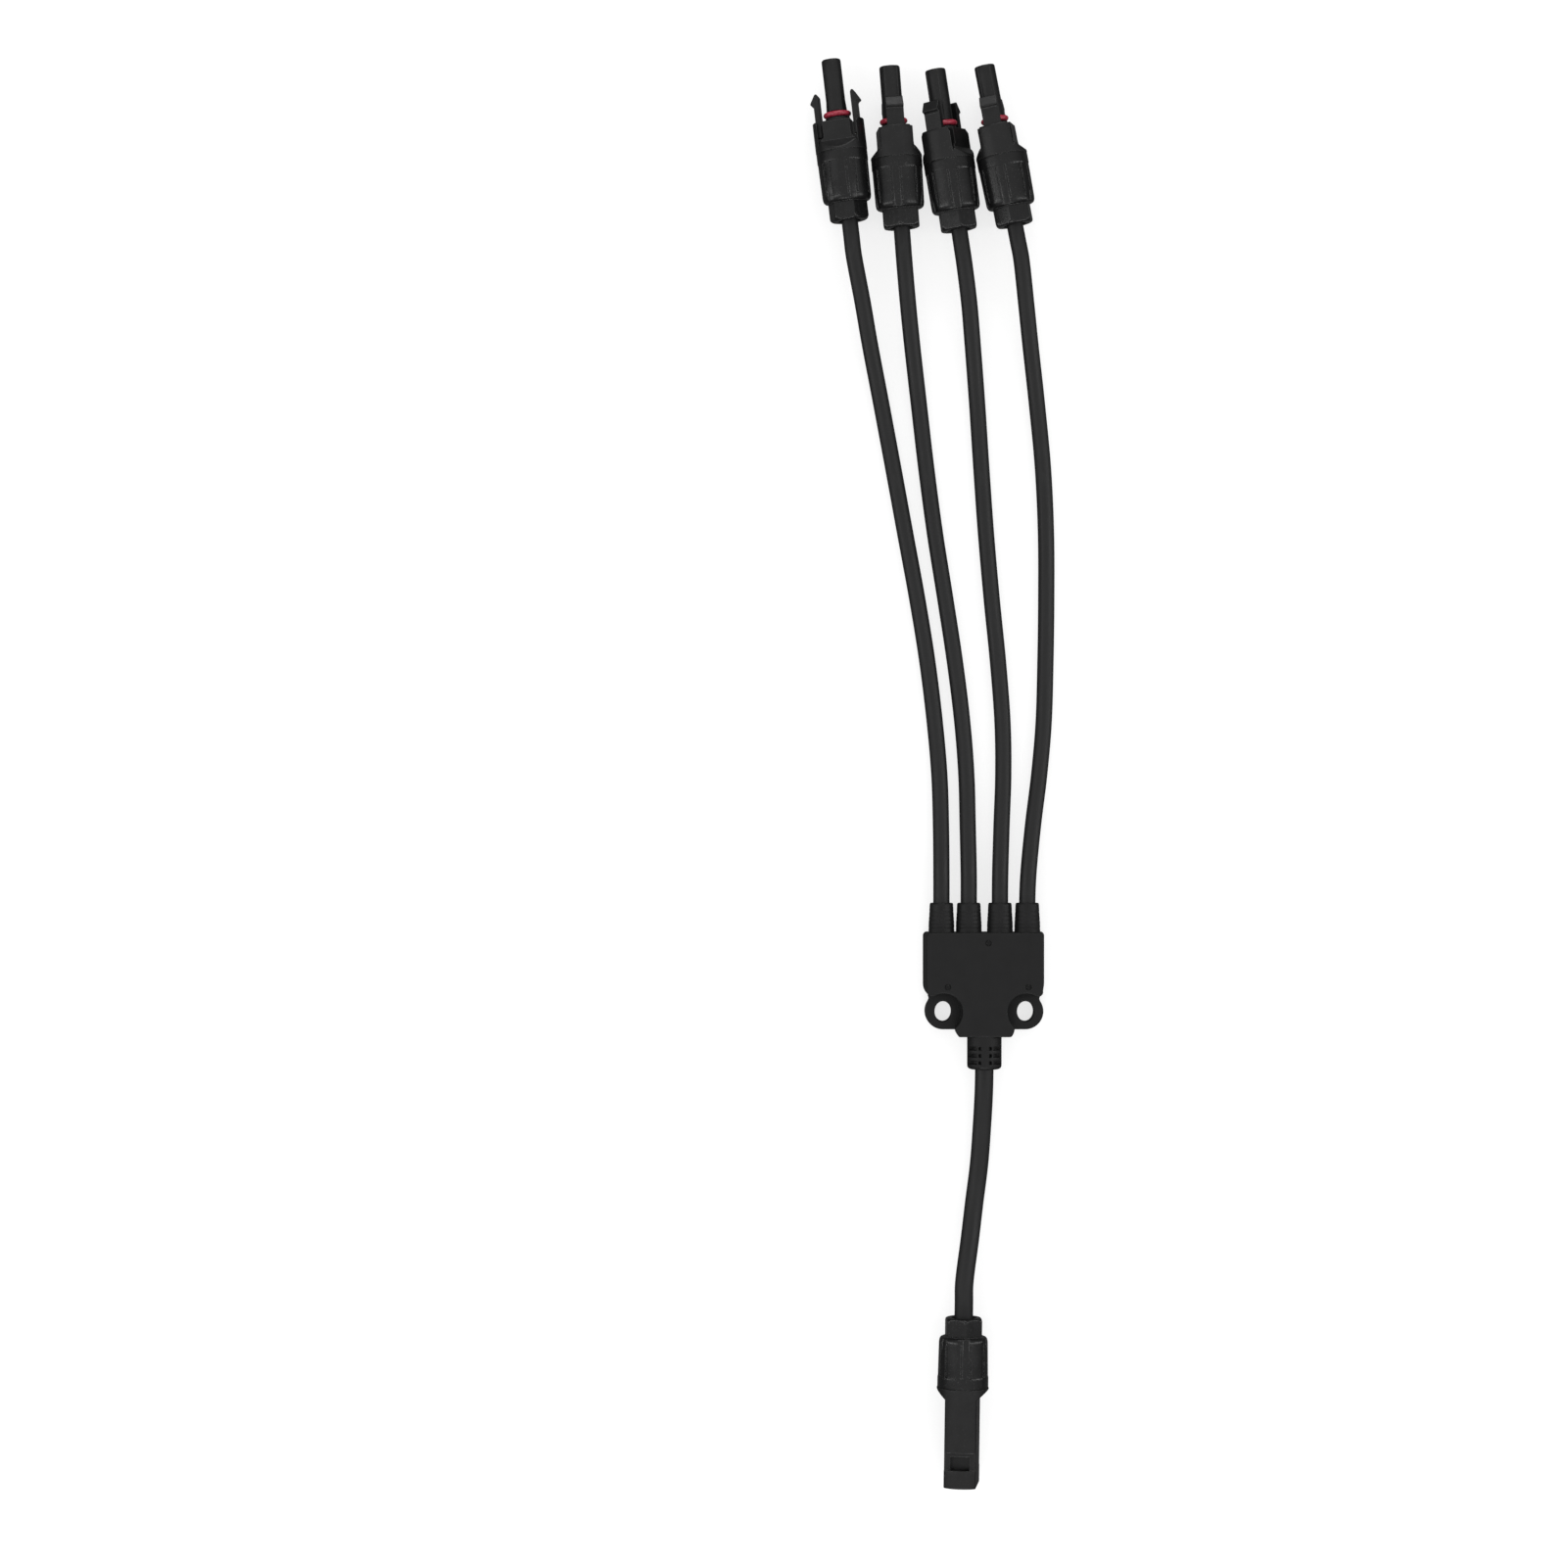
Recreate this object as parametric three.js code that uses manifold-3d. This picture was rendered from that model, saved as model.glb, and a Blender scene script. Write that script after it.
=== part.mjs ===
// Four-to-one solar cable harness: four latching connectors, a moulded junction and one plug connector.
// Millimetres, +Z up. The origin is the centre of the junction's flat underside, the branch cables leave
// along +Y and the trunk cable along -Y. Every connector lies on the plane z = 0.
import * as THREE from 'three';
import { mergeVertices } from 'three/addons/utils/BufferGeometryUtils.js';
import Module from 'manifold-3d';

const wasm = await Module();
wasm.setup();

// ---- Driving dimensions -------------------------------------------------------------------------------

const RIGHT_ANGLE = Math.PI / 2;
const FIT_GAP = 0.3; // clear space between pieces that meet
const JOIN_DEPTH = 0.01; // how far two shapes that are joined face to face run into each other

// Cables: jacket over a stranded conductor, 4 mm2 in the branches and 6 mm2 in the trunk.
const BRANCH_CABLE = { radius: 3.0, conductor: 1.25, steps: 30, spliceStrip: 6 };
const TRUNK_CABLE = { radius: 3.4, conductor: 1.5, steps: 16, spliceStrip: 8.6 };
const CABLE_SIDES = 8;
const CONTACT_STRIP = 6; // bare conductor at a contact; spliceStrip is the same at the splice bar
const STRIP_OVERLAP = 1; // how much of it lies inside the jacket

// Connector stations, measured along the axis from the rear of the cap nut's hexagon.
const NUT = {
  hexFlats: 12.8, hexLength: 6.8, rimInset: 0.9, rimLength: 1, rearRadius: 8.9, frontRadius: 9.15,
  ringRadius: 9.3, ringStart: 21.3, ringStep: 0.2, length: 25.2,
  shoulderInset: 0.5, shoulderStart: 7.3, shoulderEnd: 8.7,
  cableClearance: 1.1, coneStart: 3.2, coneEnd: 4.4, coneRadius: 5.35, seatRadius: 6.5, seatEnd: 10,
  threadRadius: 7.95, threadStart: 10.6,
  grooves: 6, grooveStart: 9.8, grooveEnd: 20.9, groovePitch: 2.6, grooveWidth: 0.8, grooveDepth: 0.5,
};
const TAIL = { start: 12.2, radius: 7.5, bore: 5.5, boreEnd: 22.5 }; // threaded tail inside the nut
const BODY_START = NUT.length + FIT_GAP;
const TAPER_START = 25.7; // the broad faces slope in from here to TAPER_END
const TAPER_END = 29.2;
const CAGE = {
  start: 5, noseRadius: 4.85, coneEnd: 10.1, coneRadius: 5.85, flange: 10.6, flangeRadius: 7.2,
  flangeEnd: 11.8, end: 14.2, radius: 5.15, cableClearance: 0.35, slot: 1.0, slotEnd: 9.6, slots: 3,
};
const SEAL = {
  start: 14.5, end: 22.2, radius: 5.2, cableClearance: 0.3,
  waistDepth: 0.4, waist: [17.4, 17.8, 18.8, 19.2],
};
const CONTACT = {
  start: 22.9, crimpEnd: 31.5, crimpRadius: 2.9, barrelEnd: 29.4, bore: 3.3, boreEnd: 32.0, bodyBore: 2.65,
};
const CONTACT_STEP = 0.2; // length of the small cones between a contact's diameters
const JACKET_END = 22.3; // the cable's jacket stops just short of the contact

// Latching connector.
const SOCKET = {
  radius: 9.4, halfThickness: 6.2, shoulder: 36.5, coreRadius: 4.5,
  grooveStart: 37.7, grooveEnd: 40.3, grooveRadius: 3.0,
  probeRadius: 3.75, tip: 59.2, tipChamfer: 0.5, tipInset: 0.4, mouthRadius: 2.3, contactEnd: 56.8,
};
const SOCKET_CONTACT = {
  radius: 2.4, barrelBore: 1.7, pinBore: 2.02, pinBoreStart: 41.5, slitStart: 46, slit: 0.5,
};
const SEAL_RING = { radius: 4.13, section: 0.96, station: 39.0 };
const LATCH = {
  inner: 6.0, outer: 7.9, width: 6.3, root: 31.0, barbStart: 42.6, barbWide: 43.4, barbOut: 9.1, tip: 47.1,
  tipInset: 0.5, tipBevel: 0.6,
};
const LATCH_SLOT = { inner: 5.0, outer: 8.3, start: 30.6, fingerRoom: 3.45, wallEdge: 7.3, rampEnd: 27.6 };

// Plug connector.
const PLUG = {
  radius: 9.5, flangeRadius: 9.62, halfThickness: 5.8, flangeHalfThickness: 6.0, bodyEnd: 61.1, end: 61.2,
  windowStart: 48.2, windowEnd: 54.5, windowDepth: 1.8,
  cavityStart: 38.4, cavityRadius: 4.15, seatStart: 55.6, seatEnd: 56.2, seatRadius: 5.3,
  channelInner: 5.5, channelOuter: 8.25, channelHalfWidth: 3.5, channelStart: 49.6,
  slotInner: 4.75, slotOuter: 6.7, slotDepth: 2.4, slots: [[31.2, 38.2], [39.6, 47.2]],
};
const PIN = {
  barrelBore: 1.95, shaftEnd: 39.6, shaftRadius: 2.35, pinRadius: 2.0, coneStart: 54.4, coneRadius: 1.2,
  tip: 55.6,
};

// Moulded junction.
const JUNCTION = {
  halfWidth: 22.3, top: 19.1, thickness: 13, bevel: 1.2, sideEnd: -1, cornerPull: -3.4, waist: -4.4,
  waistHalf: 20.8, neckHalf: 12.2, neckStart: -16.5, neckEnd: -19, neckEndHalf: 9.6, axisHeight: 6.5,
};
const EAR = {
  x: 15.1, y: -10, radius: 6.6, thickness: 5.5, bevel: 0.4, plateTop: 2, plateInset: 0.4, plateCorner: -4.6,
  clearance: 7.1, clearanceFrom: 52 * Math.PI / 180, clearanceTo: 233 * Math.PI / 180,
  holeRadius: 3.05, holeLength: 7.4,
};
const SLEEVE = {
  x: [-15.7, -5.7, 5.7, 15.7], rootRadius: 4.7, taperStart: 24.8, endRadius: 4.15, end: 29.8, bore: 3.35,
};
const RELIEF = {
  radius: 6.3, taperStart: -29.6, end: -31, endRadius: 4.9, bore: 3.75,
  slots: [-23.2, -25.8, -28.4], slot: 1.4, slotFloor: 4.6,
};
const OVERLAP = 1.5; // how far a boss reaches into the body that it stands on
const PITS = { radius: 1.25, depth: 1, places: [[1.2, 15.3], [-13.6, -0.7], [15.8, -0.7]] };
const INNER = { halfWidth: 20, bottom: -2, top: 15, height: 9, cableClearance: 0.4 }; // insulating block
const SPLICE = {
  halfWidth: 18.2, bottom: 2.6, top: 8.8, height: 4.6, branchBore: 1.6, branchDepth: 5, trunkBore: 1.85,
  trunkDepth: 5.2,
};
const BRANCH_JACKET_START = 10.4; // where the jackets stop in front of the splice bar
const TRUNK_JACKET_START = -1.6;

// Connectors: rear centre of the hexagon, lean from the row axis, roll of the latch side, turn of the nut.
const SOCKET_AXIS_HEIGHT = 9.4;
const PLUG_AXIS_HEIGHT = 9.65;
const SOCKETS = [
  { x: -49.3, y: 278.8, lean: 6.7, roll: -10, nutTurn: 25 },
  { x: -30.3, y: 276.2, lean: 4.4, roll: -86, nutTurn: 20 },
  { x: -9.3, y: 275.5, lean: 8.6, roll: -121, nutTurn: 2 },
  { x: 11.0, y: 277.3, lean: 10.9, roll: -103, nutTurn: 30 },
];
const PLUG_PLACE = { x: -7.7, y: -121.4, lean: 179.2, roll: -82, nutTurn: 18 };

// Free stretch of each cable between its sleeve and the straight run behind its connector: x, y, z.
const BRANCH_ROUTES = [
  [
    [-15.7, 40, 6.4], [-15.8, 58, 4.9], [-16.3, 76, 3.5], [-17.9, 95, 3.05], [-20.7, 118, 3.05],
    [-24.4, 141, 3.05], [-28.8, 165, 3.05], [-33.2, 189, 3.05], [-37.7, 213, 3.5], [-42.0, 235, 5.9],
    [-44.5, 249, 8.0],
  ],
  [
    [-5.7, 40, 6.4], [-6.0, 58, 4.9], [-6.4, 76, 3.5], [-7.8, 95, 3.05], [-10.6, 118, 3.05],
    [-14.1, 141, 3.05], [-17.9, 165, 3.05], [-21.1, 189, 3.05], [-23.9, 213, 3.5], [-26.5, 235, 5.9],
    [-28.0, 249, 8.0],
  ],
  [
    [5.8, 40, 6.4], [6.4, 58, 4.9], [7.1, 76, 3.5], [6.9, 95, 3.05], [5.2, 118, 3.05],
    [2.9, 141, 3.05], [0.8, 165, 3.05], [-0.9, 189, 3.05], [-2.5, 213, 3.5], [-4.3, 235, 5.9],
    [-5.6, 249, 8.0],
  ],
  [
    [16.1, 40, 6.4], [17.9, 58, 4.9], [20.2, 76, 3.5], [21.9, 95, 3.05], [22.6, 118, 3.05],
    [22.9, 141, 3.05], [22.8, 165, 3.05], [21.7, 189, 3.05], [19.4, 213, 3.5], [16.8, 235, 5.9],
    [15.2, 249, 8.0],
  ],
];
const TRUNK_ROUTE = [
  [-0.2, -40, 6.2], [-0.8, -52, 5.0], [-1.8, -66, 4.1], [-3.6, -80, 4.6], [-5.3, -93, 7.0],
];
const STRAIGHT_RUN = [-12, -6, 0, 8, 16]; // stations where a cable lies on its connector's axis

// ---- Materials ----------------------------------------------------------------------------------------

const material = (color, roughness, metalness) =>
  new THREE.MeshStandardMaterial({ color, roughness, metalness });
const BLACK_PLASTIC = material(0x242424, 0.55, 0);
const NUT_PLASTIC = material(0x202020, 0.5, 0);
const CABLE_JACKET = material(0x1c1c1c, 0.7, 0);
const JUNCTION_PLASTIC = material(0x262626, 0.65, 0);
const RED_RUBBER = material(0xb01a30, 0.5, 0);
const SEAL_RUBBER = material(0x151515, 0.85, 0);
const CAGE_PLASTIC = material(0x3a3a3a, 0.5, 0);
const TINNED_COPPER = material(0xc9c7c0, 0.3, 1);
const COPPER = material(0xb87043, 0.35, 1);
const INNER_PLASTIC = material(0x4a4a48, 0.8, 0);

// ---- Solids -------------------------------------------------------------------------------------------

// Turns a closed geometry into a solid whose faces point out.
function solid(geometry, matrix) {
  const source = geometry.clone();
  if (matrix) source.applyMatrix4(matrix);
  source.deleteAttribute('normal');
  source.deleteAttribute('uv');
  const merged = mergeVertices(source, 1e-4);
  const position = merged.getAttribute('position');
  const corner = [0, 1, 2].map(() => new THREE.Vector3());
  const triangles = [];
  let volume = 0;
  for (let i = 0; i < merged.index.count; i += 3) {
    const [a, b, c] = [0, 1, 2].map((k) => merged.index.getX(i + k));
    if (a === b || b === c || c === a) continue;
    [a, b, c].forEach((vertex, k) => corner[k].fromBufferAttribute(position, vertex));
    volume += corner[0].dot(corner[1].clone().cross(corner[2]));
    triangles.push(a, b, c);
  }
  if (volume < 0) triangles.reverse();
  return new wasm.Manifold(new wasm.Mesh({
    numProp: 3,
    vertProperties: new Float32Array(position.array),
    triVerts: new Uint32Array(triangles),
  }));
}

function geometryOf(shape) {
  const mesh = shape.getMesh();
  const geometry = new THREE.BufferGeometry();
  geometry.setAttribute('position', new THREE.BufferAttribute(new Float32Array(mesh.vertProperties), 3));
  geometry.setIndex(new THREE.BufferAttribute(new Uint32Array(mesh.triVerts), 1));
  geometry.computeVertexNormals();
  return geometry;
}

const join = (shapes) => shapes.reduce((whole, shape) => whole.add(shape));
const cut = (shape, tools) => tools.reduce((rest, tool) => rest.subtract(tool), shape);

// A solid of revolution about the connector axis, from [radius, station] points. A profile that doesn't
// start and end on the axis is closed into a ring.
function turned(profile, segments = 20) {
  const points = profile.map(([radius, station]) => new THREE.Vector2(radius, station));
  const endsOnAxis = profile[0][0] === 0 && profile[profile.length - 1][0] === 0;
  if (!endsOnAxis) points.push(points[0].clone());
  return solid(new THREE.LatheGeometry(points, segments));
}

const rod = (radius, from, to, segments) => (
  turned([[0, from], [radius, from], [radius, to], [0, to]], segments)
);

// A block given by its limits, turned about the connector axis if an angle is given.
function block([x0, x1], [y0, y1], [z0, z1], angle = 0) {
  const geometry = new THREE.BoxGeometry(x1 - x0, y1 - y0, z1 - z0);
  geometry.translate((x0 + x1) / 2, (y0 + y1) / 2, (z0 + z1) / 2);
  return solid(geometry, new THREE.Matrix4().makeRotationY(angle));
}

const polygon = (corners) => new THREE.Shape(corners.map(([x, y]) => new THREE.Vector2(x, y)));

// An outline in x and y with a height in z, centred on z = 0.
function plate(outline, height) {
  const geometry = new THREE.ExtrudeGeometry(polygon(outline), { depth: height, bevelEnabled: false });
  geometry.translate(0, 0, -height / 2);
  return solid(geometry);
}

// An outline given as [height, station] that runs along x, centred on x = 0.
function crosswisePlate(outline, width) {
  const geometry = new THREE.ExtrudeGeometry(polygon(outline), { depth: width, bevelEnabled: false });
  geometry.translate(0, 0, -width / 2);
  geometry.rotateY(RIGHT_ANGLE);
  return solid(geometry);
}

// ---- Connector pieces, each in the connector's own frame: axis +Y, latches towards +X and -X ----------

function capNut(cable) {
  const hexCorner = NUT.hexFlats / 2 / Math.cos(Math.PI / 6);
  const outer = turned([
    [0, 0], [hexCorner - NUT.rimInset, 0], [hexCorner, NUT.rimLength], [hexCorner, NUT.hexLength],
    [NUT.rearRadius - NUT.shoulderInset, NUT.shoulderStart], [NUT.rearRadius, NUT.shoulderEnd],
    [NUT.frontRadius, NUT.ringStart - NUT.ringStep], [NUT.ringRadius, NUT.ringStart + NUT.ringStep],
    [NUT.ringRadius, NUT.length], [0, NUT.length],
  ], 24);
  const hexagon = rod(hexCorner, -1, NUT.hexLength + JOIN_DEPTH, 6);
  const grip = rod(NUT.ringRadius + 1, NUT.hexLength, NUT.length + 1, 8);
  const envelope = join([hexagon, grip]);
  const hole = cable.radius + NUT.cableClearance;
  const bore = turned([
    [0, -1], [hole, -1], [hole, NUT.coneStart], [NUT.coneRadius, NUT.coneEnd],
    [NUT.seatRadius, NUT.seatEnd], [NUT.threadRadius, NUT.threadStart],
    [NUT.threadRadius, NUT.length + 1], [0, NUT.length + 1],
  ], 16);
  const grooves = [];
  for (let i = 0; i < NUT.grooves; i += 1) {
    for (const side of [-1, 1]) {
      const angle = (i + 0.5) * 2 * Math.PI / NUT.grooves + side * NUT.groovePitch / 2 / NUT.frontRadius;
      grooves.push(block(
        [NUT.frontRadius - NUT.grooveDepth, NUT.ringRadius + 1],
        [NUT.grooveStart, NUT.grooveEnd],
        [-NUT.grooveWidth / 2, NUT.grooveWidth / 2],
        angle,
      ));
    }
  }
  return cut(outer.intersect(envelope), [bore, ...grooves]);
}

function clampCage(cable) {
  const inner = cable.radius + CAGE.cableClearance;
  const reach = CAGE.flangeRadius + 1;
  const ring = turned([
    [inner, CAGE.start], [CAGE.noseRadius, CAGE.start], [CAGE.coneRadius, CAGE.coneEnd],
    [CAGE.flangeRadius, CAGE.flange], [CAGE.flangeRadius, CAGE.flangeEnd], [CAGE.radius, CAGE.flangeEnd],
    [CAGE.radius, CAGE.end], [inner, CAGE.end],
  ], 12);
  const slots = [];
  for (let i = 0; i < CAGE.slots; i += 1) {
    slots.push(block(
      [-reach, reach], [CAGE.start - 1, CAGE.slotEnd], [-CAGE.slot / 2, CAGE.slot / 2],
      i * Math.PI / CAGE.slots,
    ));
  }
  return cut(ring, slots);
}

function cableSeal(cable) {
  const inner = cable.radius + SEAL.cableClearance;
  const waistRadius = SEAL.radius - SEAL.waistDepth;
  const [top, upper, lower, bottom] = SEAL.waist;
  return turned([
    [inner, SEAL.start], [SEAL.radius, SEAL.start], [SEAL.radius, top], [waistRadius, upper],
    [waistRadius, lower], [SEAL.radius, bottom], [SEAL.radius, SEAL.end], [inner, SEAL.end],
  ], 12);
}

const threadedTail = (end) => rod(TAIL.radius, TAIL.start, end, 16);

// Room for the gland, the crimp barrel and the front of the contact.
const cableBore = (end) => turned([
  [0, TAIL.start - 1], [TAIL.bore, TAIL.start - 1], [TAIL.bore, TAIL.boreEnd], [CONTACT.bore, TAIL.boreEnd],
  [CONTACT.bore, CONTACT.boreEnd], [CONTACT.bodyBore, CONTACT.boreEnd], [CONTACT.bodyBore, end], [0, end],
], 12);

// A round body whose two broad faces are cut flat in front of a short taper.
function flattenedBody(radius, halfThickness, end) {
  const round = rod(radius, BODY_START, end, 24);
  const reach = radius + 0.1;
  const flats = crosswisePlate([
    [-reach, BODY_START - 1], [reach, BODY_START - 1], [reach, TAPER_START],
    [halfThickness, TAPER_END], [halfThickness, end + 1],
    [-halfThickness, end + 1], [-halfThickness, TAPER_END], [-reach, TAPER_START],
  ], 3 * radius);
  return round.intersect(flats);
}

// Room beside the core for one latch finger: the finger's own slot and, on both sides of it, an opening in
// the broad face whose floor is a ramp. What is left outside is the side wall.
function latchPocket(side) {
  const { inner, outer, start, fingerRoom, wallEdge, rampEnd } = LATCH_SLOT;
  const front = SOCKET.shoulder + 1;
  const across = [side * inner, side * outer].sort((a, b) => a - b);
  const slot = block(across, [start, front], [-fingerRoom, fingerRoom]);
  const outline = [[inner, start], [wallEdge, rampEnd], [wallEdge, front], [inner, front]];
  const opening = plate(outline.map(([x, y]) => [side * x, y]), 2 * SOCKET.radius);
  return join([slot, cut(opening, [block(across, [rampEnd - 1, start], [-fingerRoom, fingerRoom])])]);
}

function socketHousing() {
  const nose = turned([
    [0, TAPER_END - 1], [SOCKET.coreRadius, TAPER_END - 1], [SOCKET.coreRadius, SOCKET.grooveStart],
    [SOCKET.grooveRadius, SOCKET.grooveStart], [SOCKET.grooveRadius, SOCKET.grooveEnd],
    [SOCKET.probeRadius, SOCKET.grooveEnd], [SOCKET.probeRadius, SOCKET.tip - SOCKET.tipChamfer],
    [SOCKET.probeRadius - SOCKET.tipInset, SOCKET.tip], [0, SOCKET.tip],
  ], 16);
  const body = flattenedBody(SOCKET.radius, SOCKET.halfThickness, SOCKET.shoulder);
  const mouth = rod(SOCKET.mouthRadius, SOCKET.contactEnd, SOCKET.tip + 1, 12);
  const whole = join([threadedTail(TAPER_END), cut(body, [latchPocket(-1), latchPocket(1)]), nose]);
  return cut(whole, [cableBore(SOCKET.contactEnd + FIT_GAP), mouth]);
}

function latchFinger(side) {
  const outline = [
    [LATCH.inner, LATCH.root], [LATCH.outer, LATCH.root], [LATCH.outer, LATCH.barbStart],
    [LATCH.barbOut, LATCH.barbWide], [LATCH.outer - LATCH.tipInset, LATCH.tip],
    [LATCH.inner + LATCH.tipInset, LATCH.tip], [LATCH.inner, LATCH.tip - LATCH.tipBevel],
  ];
  return plate(outline.map(([x, y]) => [side * x, y]), LATCH.width);
}

const sealRing = () => {
  const ring = new THREE.TorusGeometry(SEAL_RING.radius, SEAL_RING.section, 6, 16);
  ring.rotateX(RIGHT_ANGLE);
  ring.translate(0, SEAL_RING.station, 0);
  return solid(ring);
};

// Crimp barrel, shaft and a slit socket that a 4 mm pin enters.
function socketContact() {
  const { radius, barrelBore, pinBore, pinBoreStart, slitStart, slit } = SOCKET_CONTACT;
  const body = turned([
    [0, CONTACT.start], [CONTACT.crimpRadius, CONTACT.start], [CONTACT.crimpRadius, CONTACT.crimpEnd],
    [radius, CONTACT.crimpEnd + CONTACT_STEP], [radius, SOCKET.contactEnd], [0, SOCKET.contactEnd],
  ], 12);
  const barrel = rod(barrelBore, CONTACT.start - 1, CONTACT.barrelEnd, 8);
  const mouth = rod(pinBore, pinBoreStart, SOCKET.contactEnd + 1, 12);
  const split = block([-radius - 1, radius + 1], [slitStart, SOCKET.contactEnd + 1], [-slit / 2, slit / 2]);
  return cut(body, [barrel, mouth, split]);
}

function pinContact() {
  const body = turned([
    [0, CONTACT.start], [CONTACT.crimpRadius, CONTACT.start], [CONTACT.crimpRadius, CONTACT.crimpEnd],
    [PIN.shaftRadius, CONTACT.crimpEnd + CONTACT_STEP], [PIN.shaftRadius, PIN.shaftEnd],
    [PIN.pinRadius, PIN.shaftEnd + CONTACT_STEP], [PIN.pinRadius, PIN.coneStart], [PIN.coneRadius, PIN.tip],
    [0, PIN.tip],
  ], 12);
  return cut(body, [rod(PIN.barrelBore, CONTACT.start - 1, CONTACT.barrelEnd, 8)]);
}

function plugHousing() {
  const reach = PLUG.flangeRadius + 1;
  const flange = rod(PLUG.flangeRadius, PLUG.windowEnd, PLUG.end, 24).intersect(block(
    [-reach, reach],
    [PLUG.windowEnd - 1, PLUG.end + 1],
    [-PLUG.flangeHalfThickness, PLUG.flangeHalfThickness],
  ));
  const body = flattenedBody(PLUG.radius, PLUG.halfThickness, PLUG.bodyEnd);
  const cavity = turned([
    [0, PLUG.cavityStart], [PLUG.cavityRadius, PLUG.cavityStart], [PLUG.cavityRadius, PLUG.seatStart],
    [PLUG.seatRadius, PLUG.seatEnd], [PLUG.seatRadius, PLUG.end + 1], [0, PLUG.end + 1],
  ]);
  const cuts = [cableBore(PLUG.cavityStart + 1), cavity];
  for (const side of [-1, 1]) {
    const span = (inner, outer) => [side * inner, side * outer].sort((a, b) => a - b);
    const wide = [-PLUG.radius, PLUG.radius];
    cuts.push(block(
      span(PLUG.channelInner, PLUG.channelOuter), [PLUG.channelStart, PLUG.end + 1],
      [-PLUG.channelHalfWidth, PLUG.channelHalfWidth],
    ));
    cuts.push(block(
      span(PLUG.radius - PLUG.windowDepth, PLUG.radius + 1), [PLUG.windowStart, PLUG.windowEnd], wide,
    ));
    for (const [from, to] of PLUG.slots) {
      for (const face of [-1, 1]) {
        const depth = [face * (PLUG.halfThickness - PLUG.slotDepth), face * (PLUG.halfThickness + 1)];
        cuts.push(block(span(PLUG.slotInner, PLUG.slotOuter), [from, to], depth.sort((a, b) => a - b)));
      }
    }
  }
  return cut(join([threadedTail(TAPER_END), body, flange]), cuts);
}

// ---- Junction pieces ----------------------------------------------------------------------------------

// Raised middle of the moulding: its sides curve in at the waist and run round each screw ear.
function junctionOutline() {
  const shape = new THREE.Shape();
  const { halfWidth, top, sideEnd, cornerPull, waist, waistHalf } = JUNCTION;
  const { clearance, clearanceFrom, clearanceTo } = EAR;
  shape.moveTo(halfWidth, top);
  shape.lineTo(-halfWidth, top);
  shape.lineTo(-halfWidth, sideEnd);
  shape.quadraticCurveTo(-halfWidth, cornerPull, -waistHalf, waist);
  shape.absarc(-EAR.x, EAR.y, clearance, Math.PI - clearanceFrom, Math.PI - clearanceTo, true);
  shape.lineTo(-JUNCTION.neckHalf, JUNCTION.neckStart);
  shape.lineTo(-JUNCTION.neckEndHalf, JUNCTION.neckEnd);
  shape.lineTo(JUNCTION.neckEndHalf, JUNCTION.neckEnd);
  shape.lineTo(JUNCTION.neckHalf, JUNCTION.neckStart);
  shape.absarc(EAR.x, EAR.y, clearance, clearanceTo, clearanceFrom, true);
  shape.lineTo(waistHalf, waist);
  shape.quadraticCurveTo(halfWidth, cornerPull, halfWidth, sideEnd);
  shape.closePath();
  return shape;
}

// Thin plate that carries both screw ears, flush with the underside.
function earPlate() {
  const shape = new THREE.Shape();
  const half = JUNCTION.waistHalf - EAR.plateInset;
  const bottom = EAR.y - EAR.radius;
  shape.moveTo(half, EAR.plateTop);
  shape.lineTo(-half, EAR.plateTop);
  shape.lineTo(-half, EAR.plateCorner);
  shape.absarc(-EAR.x, EAR.y, EAR.radius, Math.PI * 0.75, Math.PI * 1.5, false);
  shape.lineTo(-JUNCTION.neckHalf, bottom);
  shape.lineTo(JUNCTION.neckHalf, bottom);
  shape.absarc(EAR.x, EAR.y, EAR.radius, -Math.PI / 2, Math.PI / 4, false);
  shape.lineTo(half, EAR.plateCorner);
  shape.closePath();
  for (const side of [-1, 1]) {
    const hole = new THREE.Path();
    const straight = EAR.holeLength / 2 - EAR.holeRadius;
    hole.absarc(side * EAR.x, EAR.y + straight, EAR.holeRadius, 0, Math.PI, false);
    hole.absarc(side * EAR.x, EAR.y - straight, EAR.holeRadius, Math.PI, 2 * Math.PI, false);
    shape.holes.push(hole);
  }
  return solid(new THREE.ExtrudeGeometry(shape, {
    depth: EAR.thickness - 2 * EAR.bevel, bevelEnabled: true, bevelThickness: EAR.bevel,
    bevelSize: EAR.bevel, bevelOffset: -EAR.bevel, bevelSegments: 1, curveSegments: 5,
  }).translate(0, 0, EAR.bevel));
}

// Puts a piece turned about +Y at an x and at the height of the cable axes.
const atCableHeight = (shape, x = 0) => shape.translate(x, 0, JUNCTION.axisHeight);

// The raised middle with a chamfer along its straight outer edges.
function junctionBody() {
  const { bevel, thickness, halfWidth, top, neckEnd } = JUNCTION;
  const body = solid(new THREE.ExtrudeGeometry(junctionOutline(), {
    depth: thickness, bevelEnabled: false, curveSegments: 6,
  }));
  const corners = [[halfWidth, top], [-halfWidth, top], [-halfWidth, neckEnd], [halfWidth, neckEnd]];
  const envelope = new THREE.ExtrudeGeometry(polygon(corners), {
    depth: thickness - 2 * bevel, bevelEnabled: true, bevelThickness: bevel, bevelSize: bevel,
    bevelOffset: -bevel, bevelSegments: 1,
  });
  return body.intersect(solid(envelope.translate(0, 0, bevel)));
}

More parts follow.
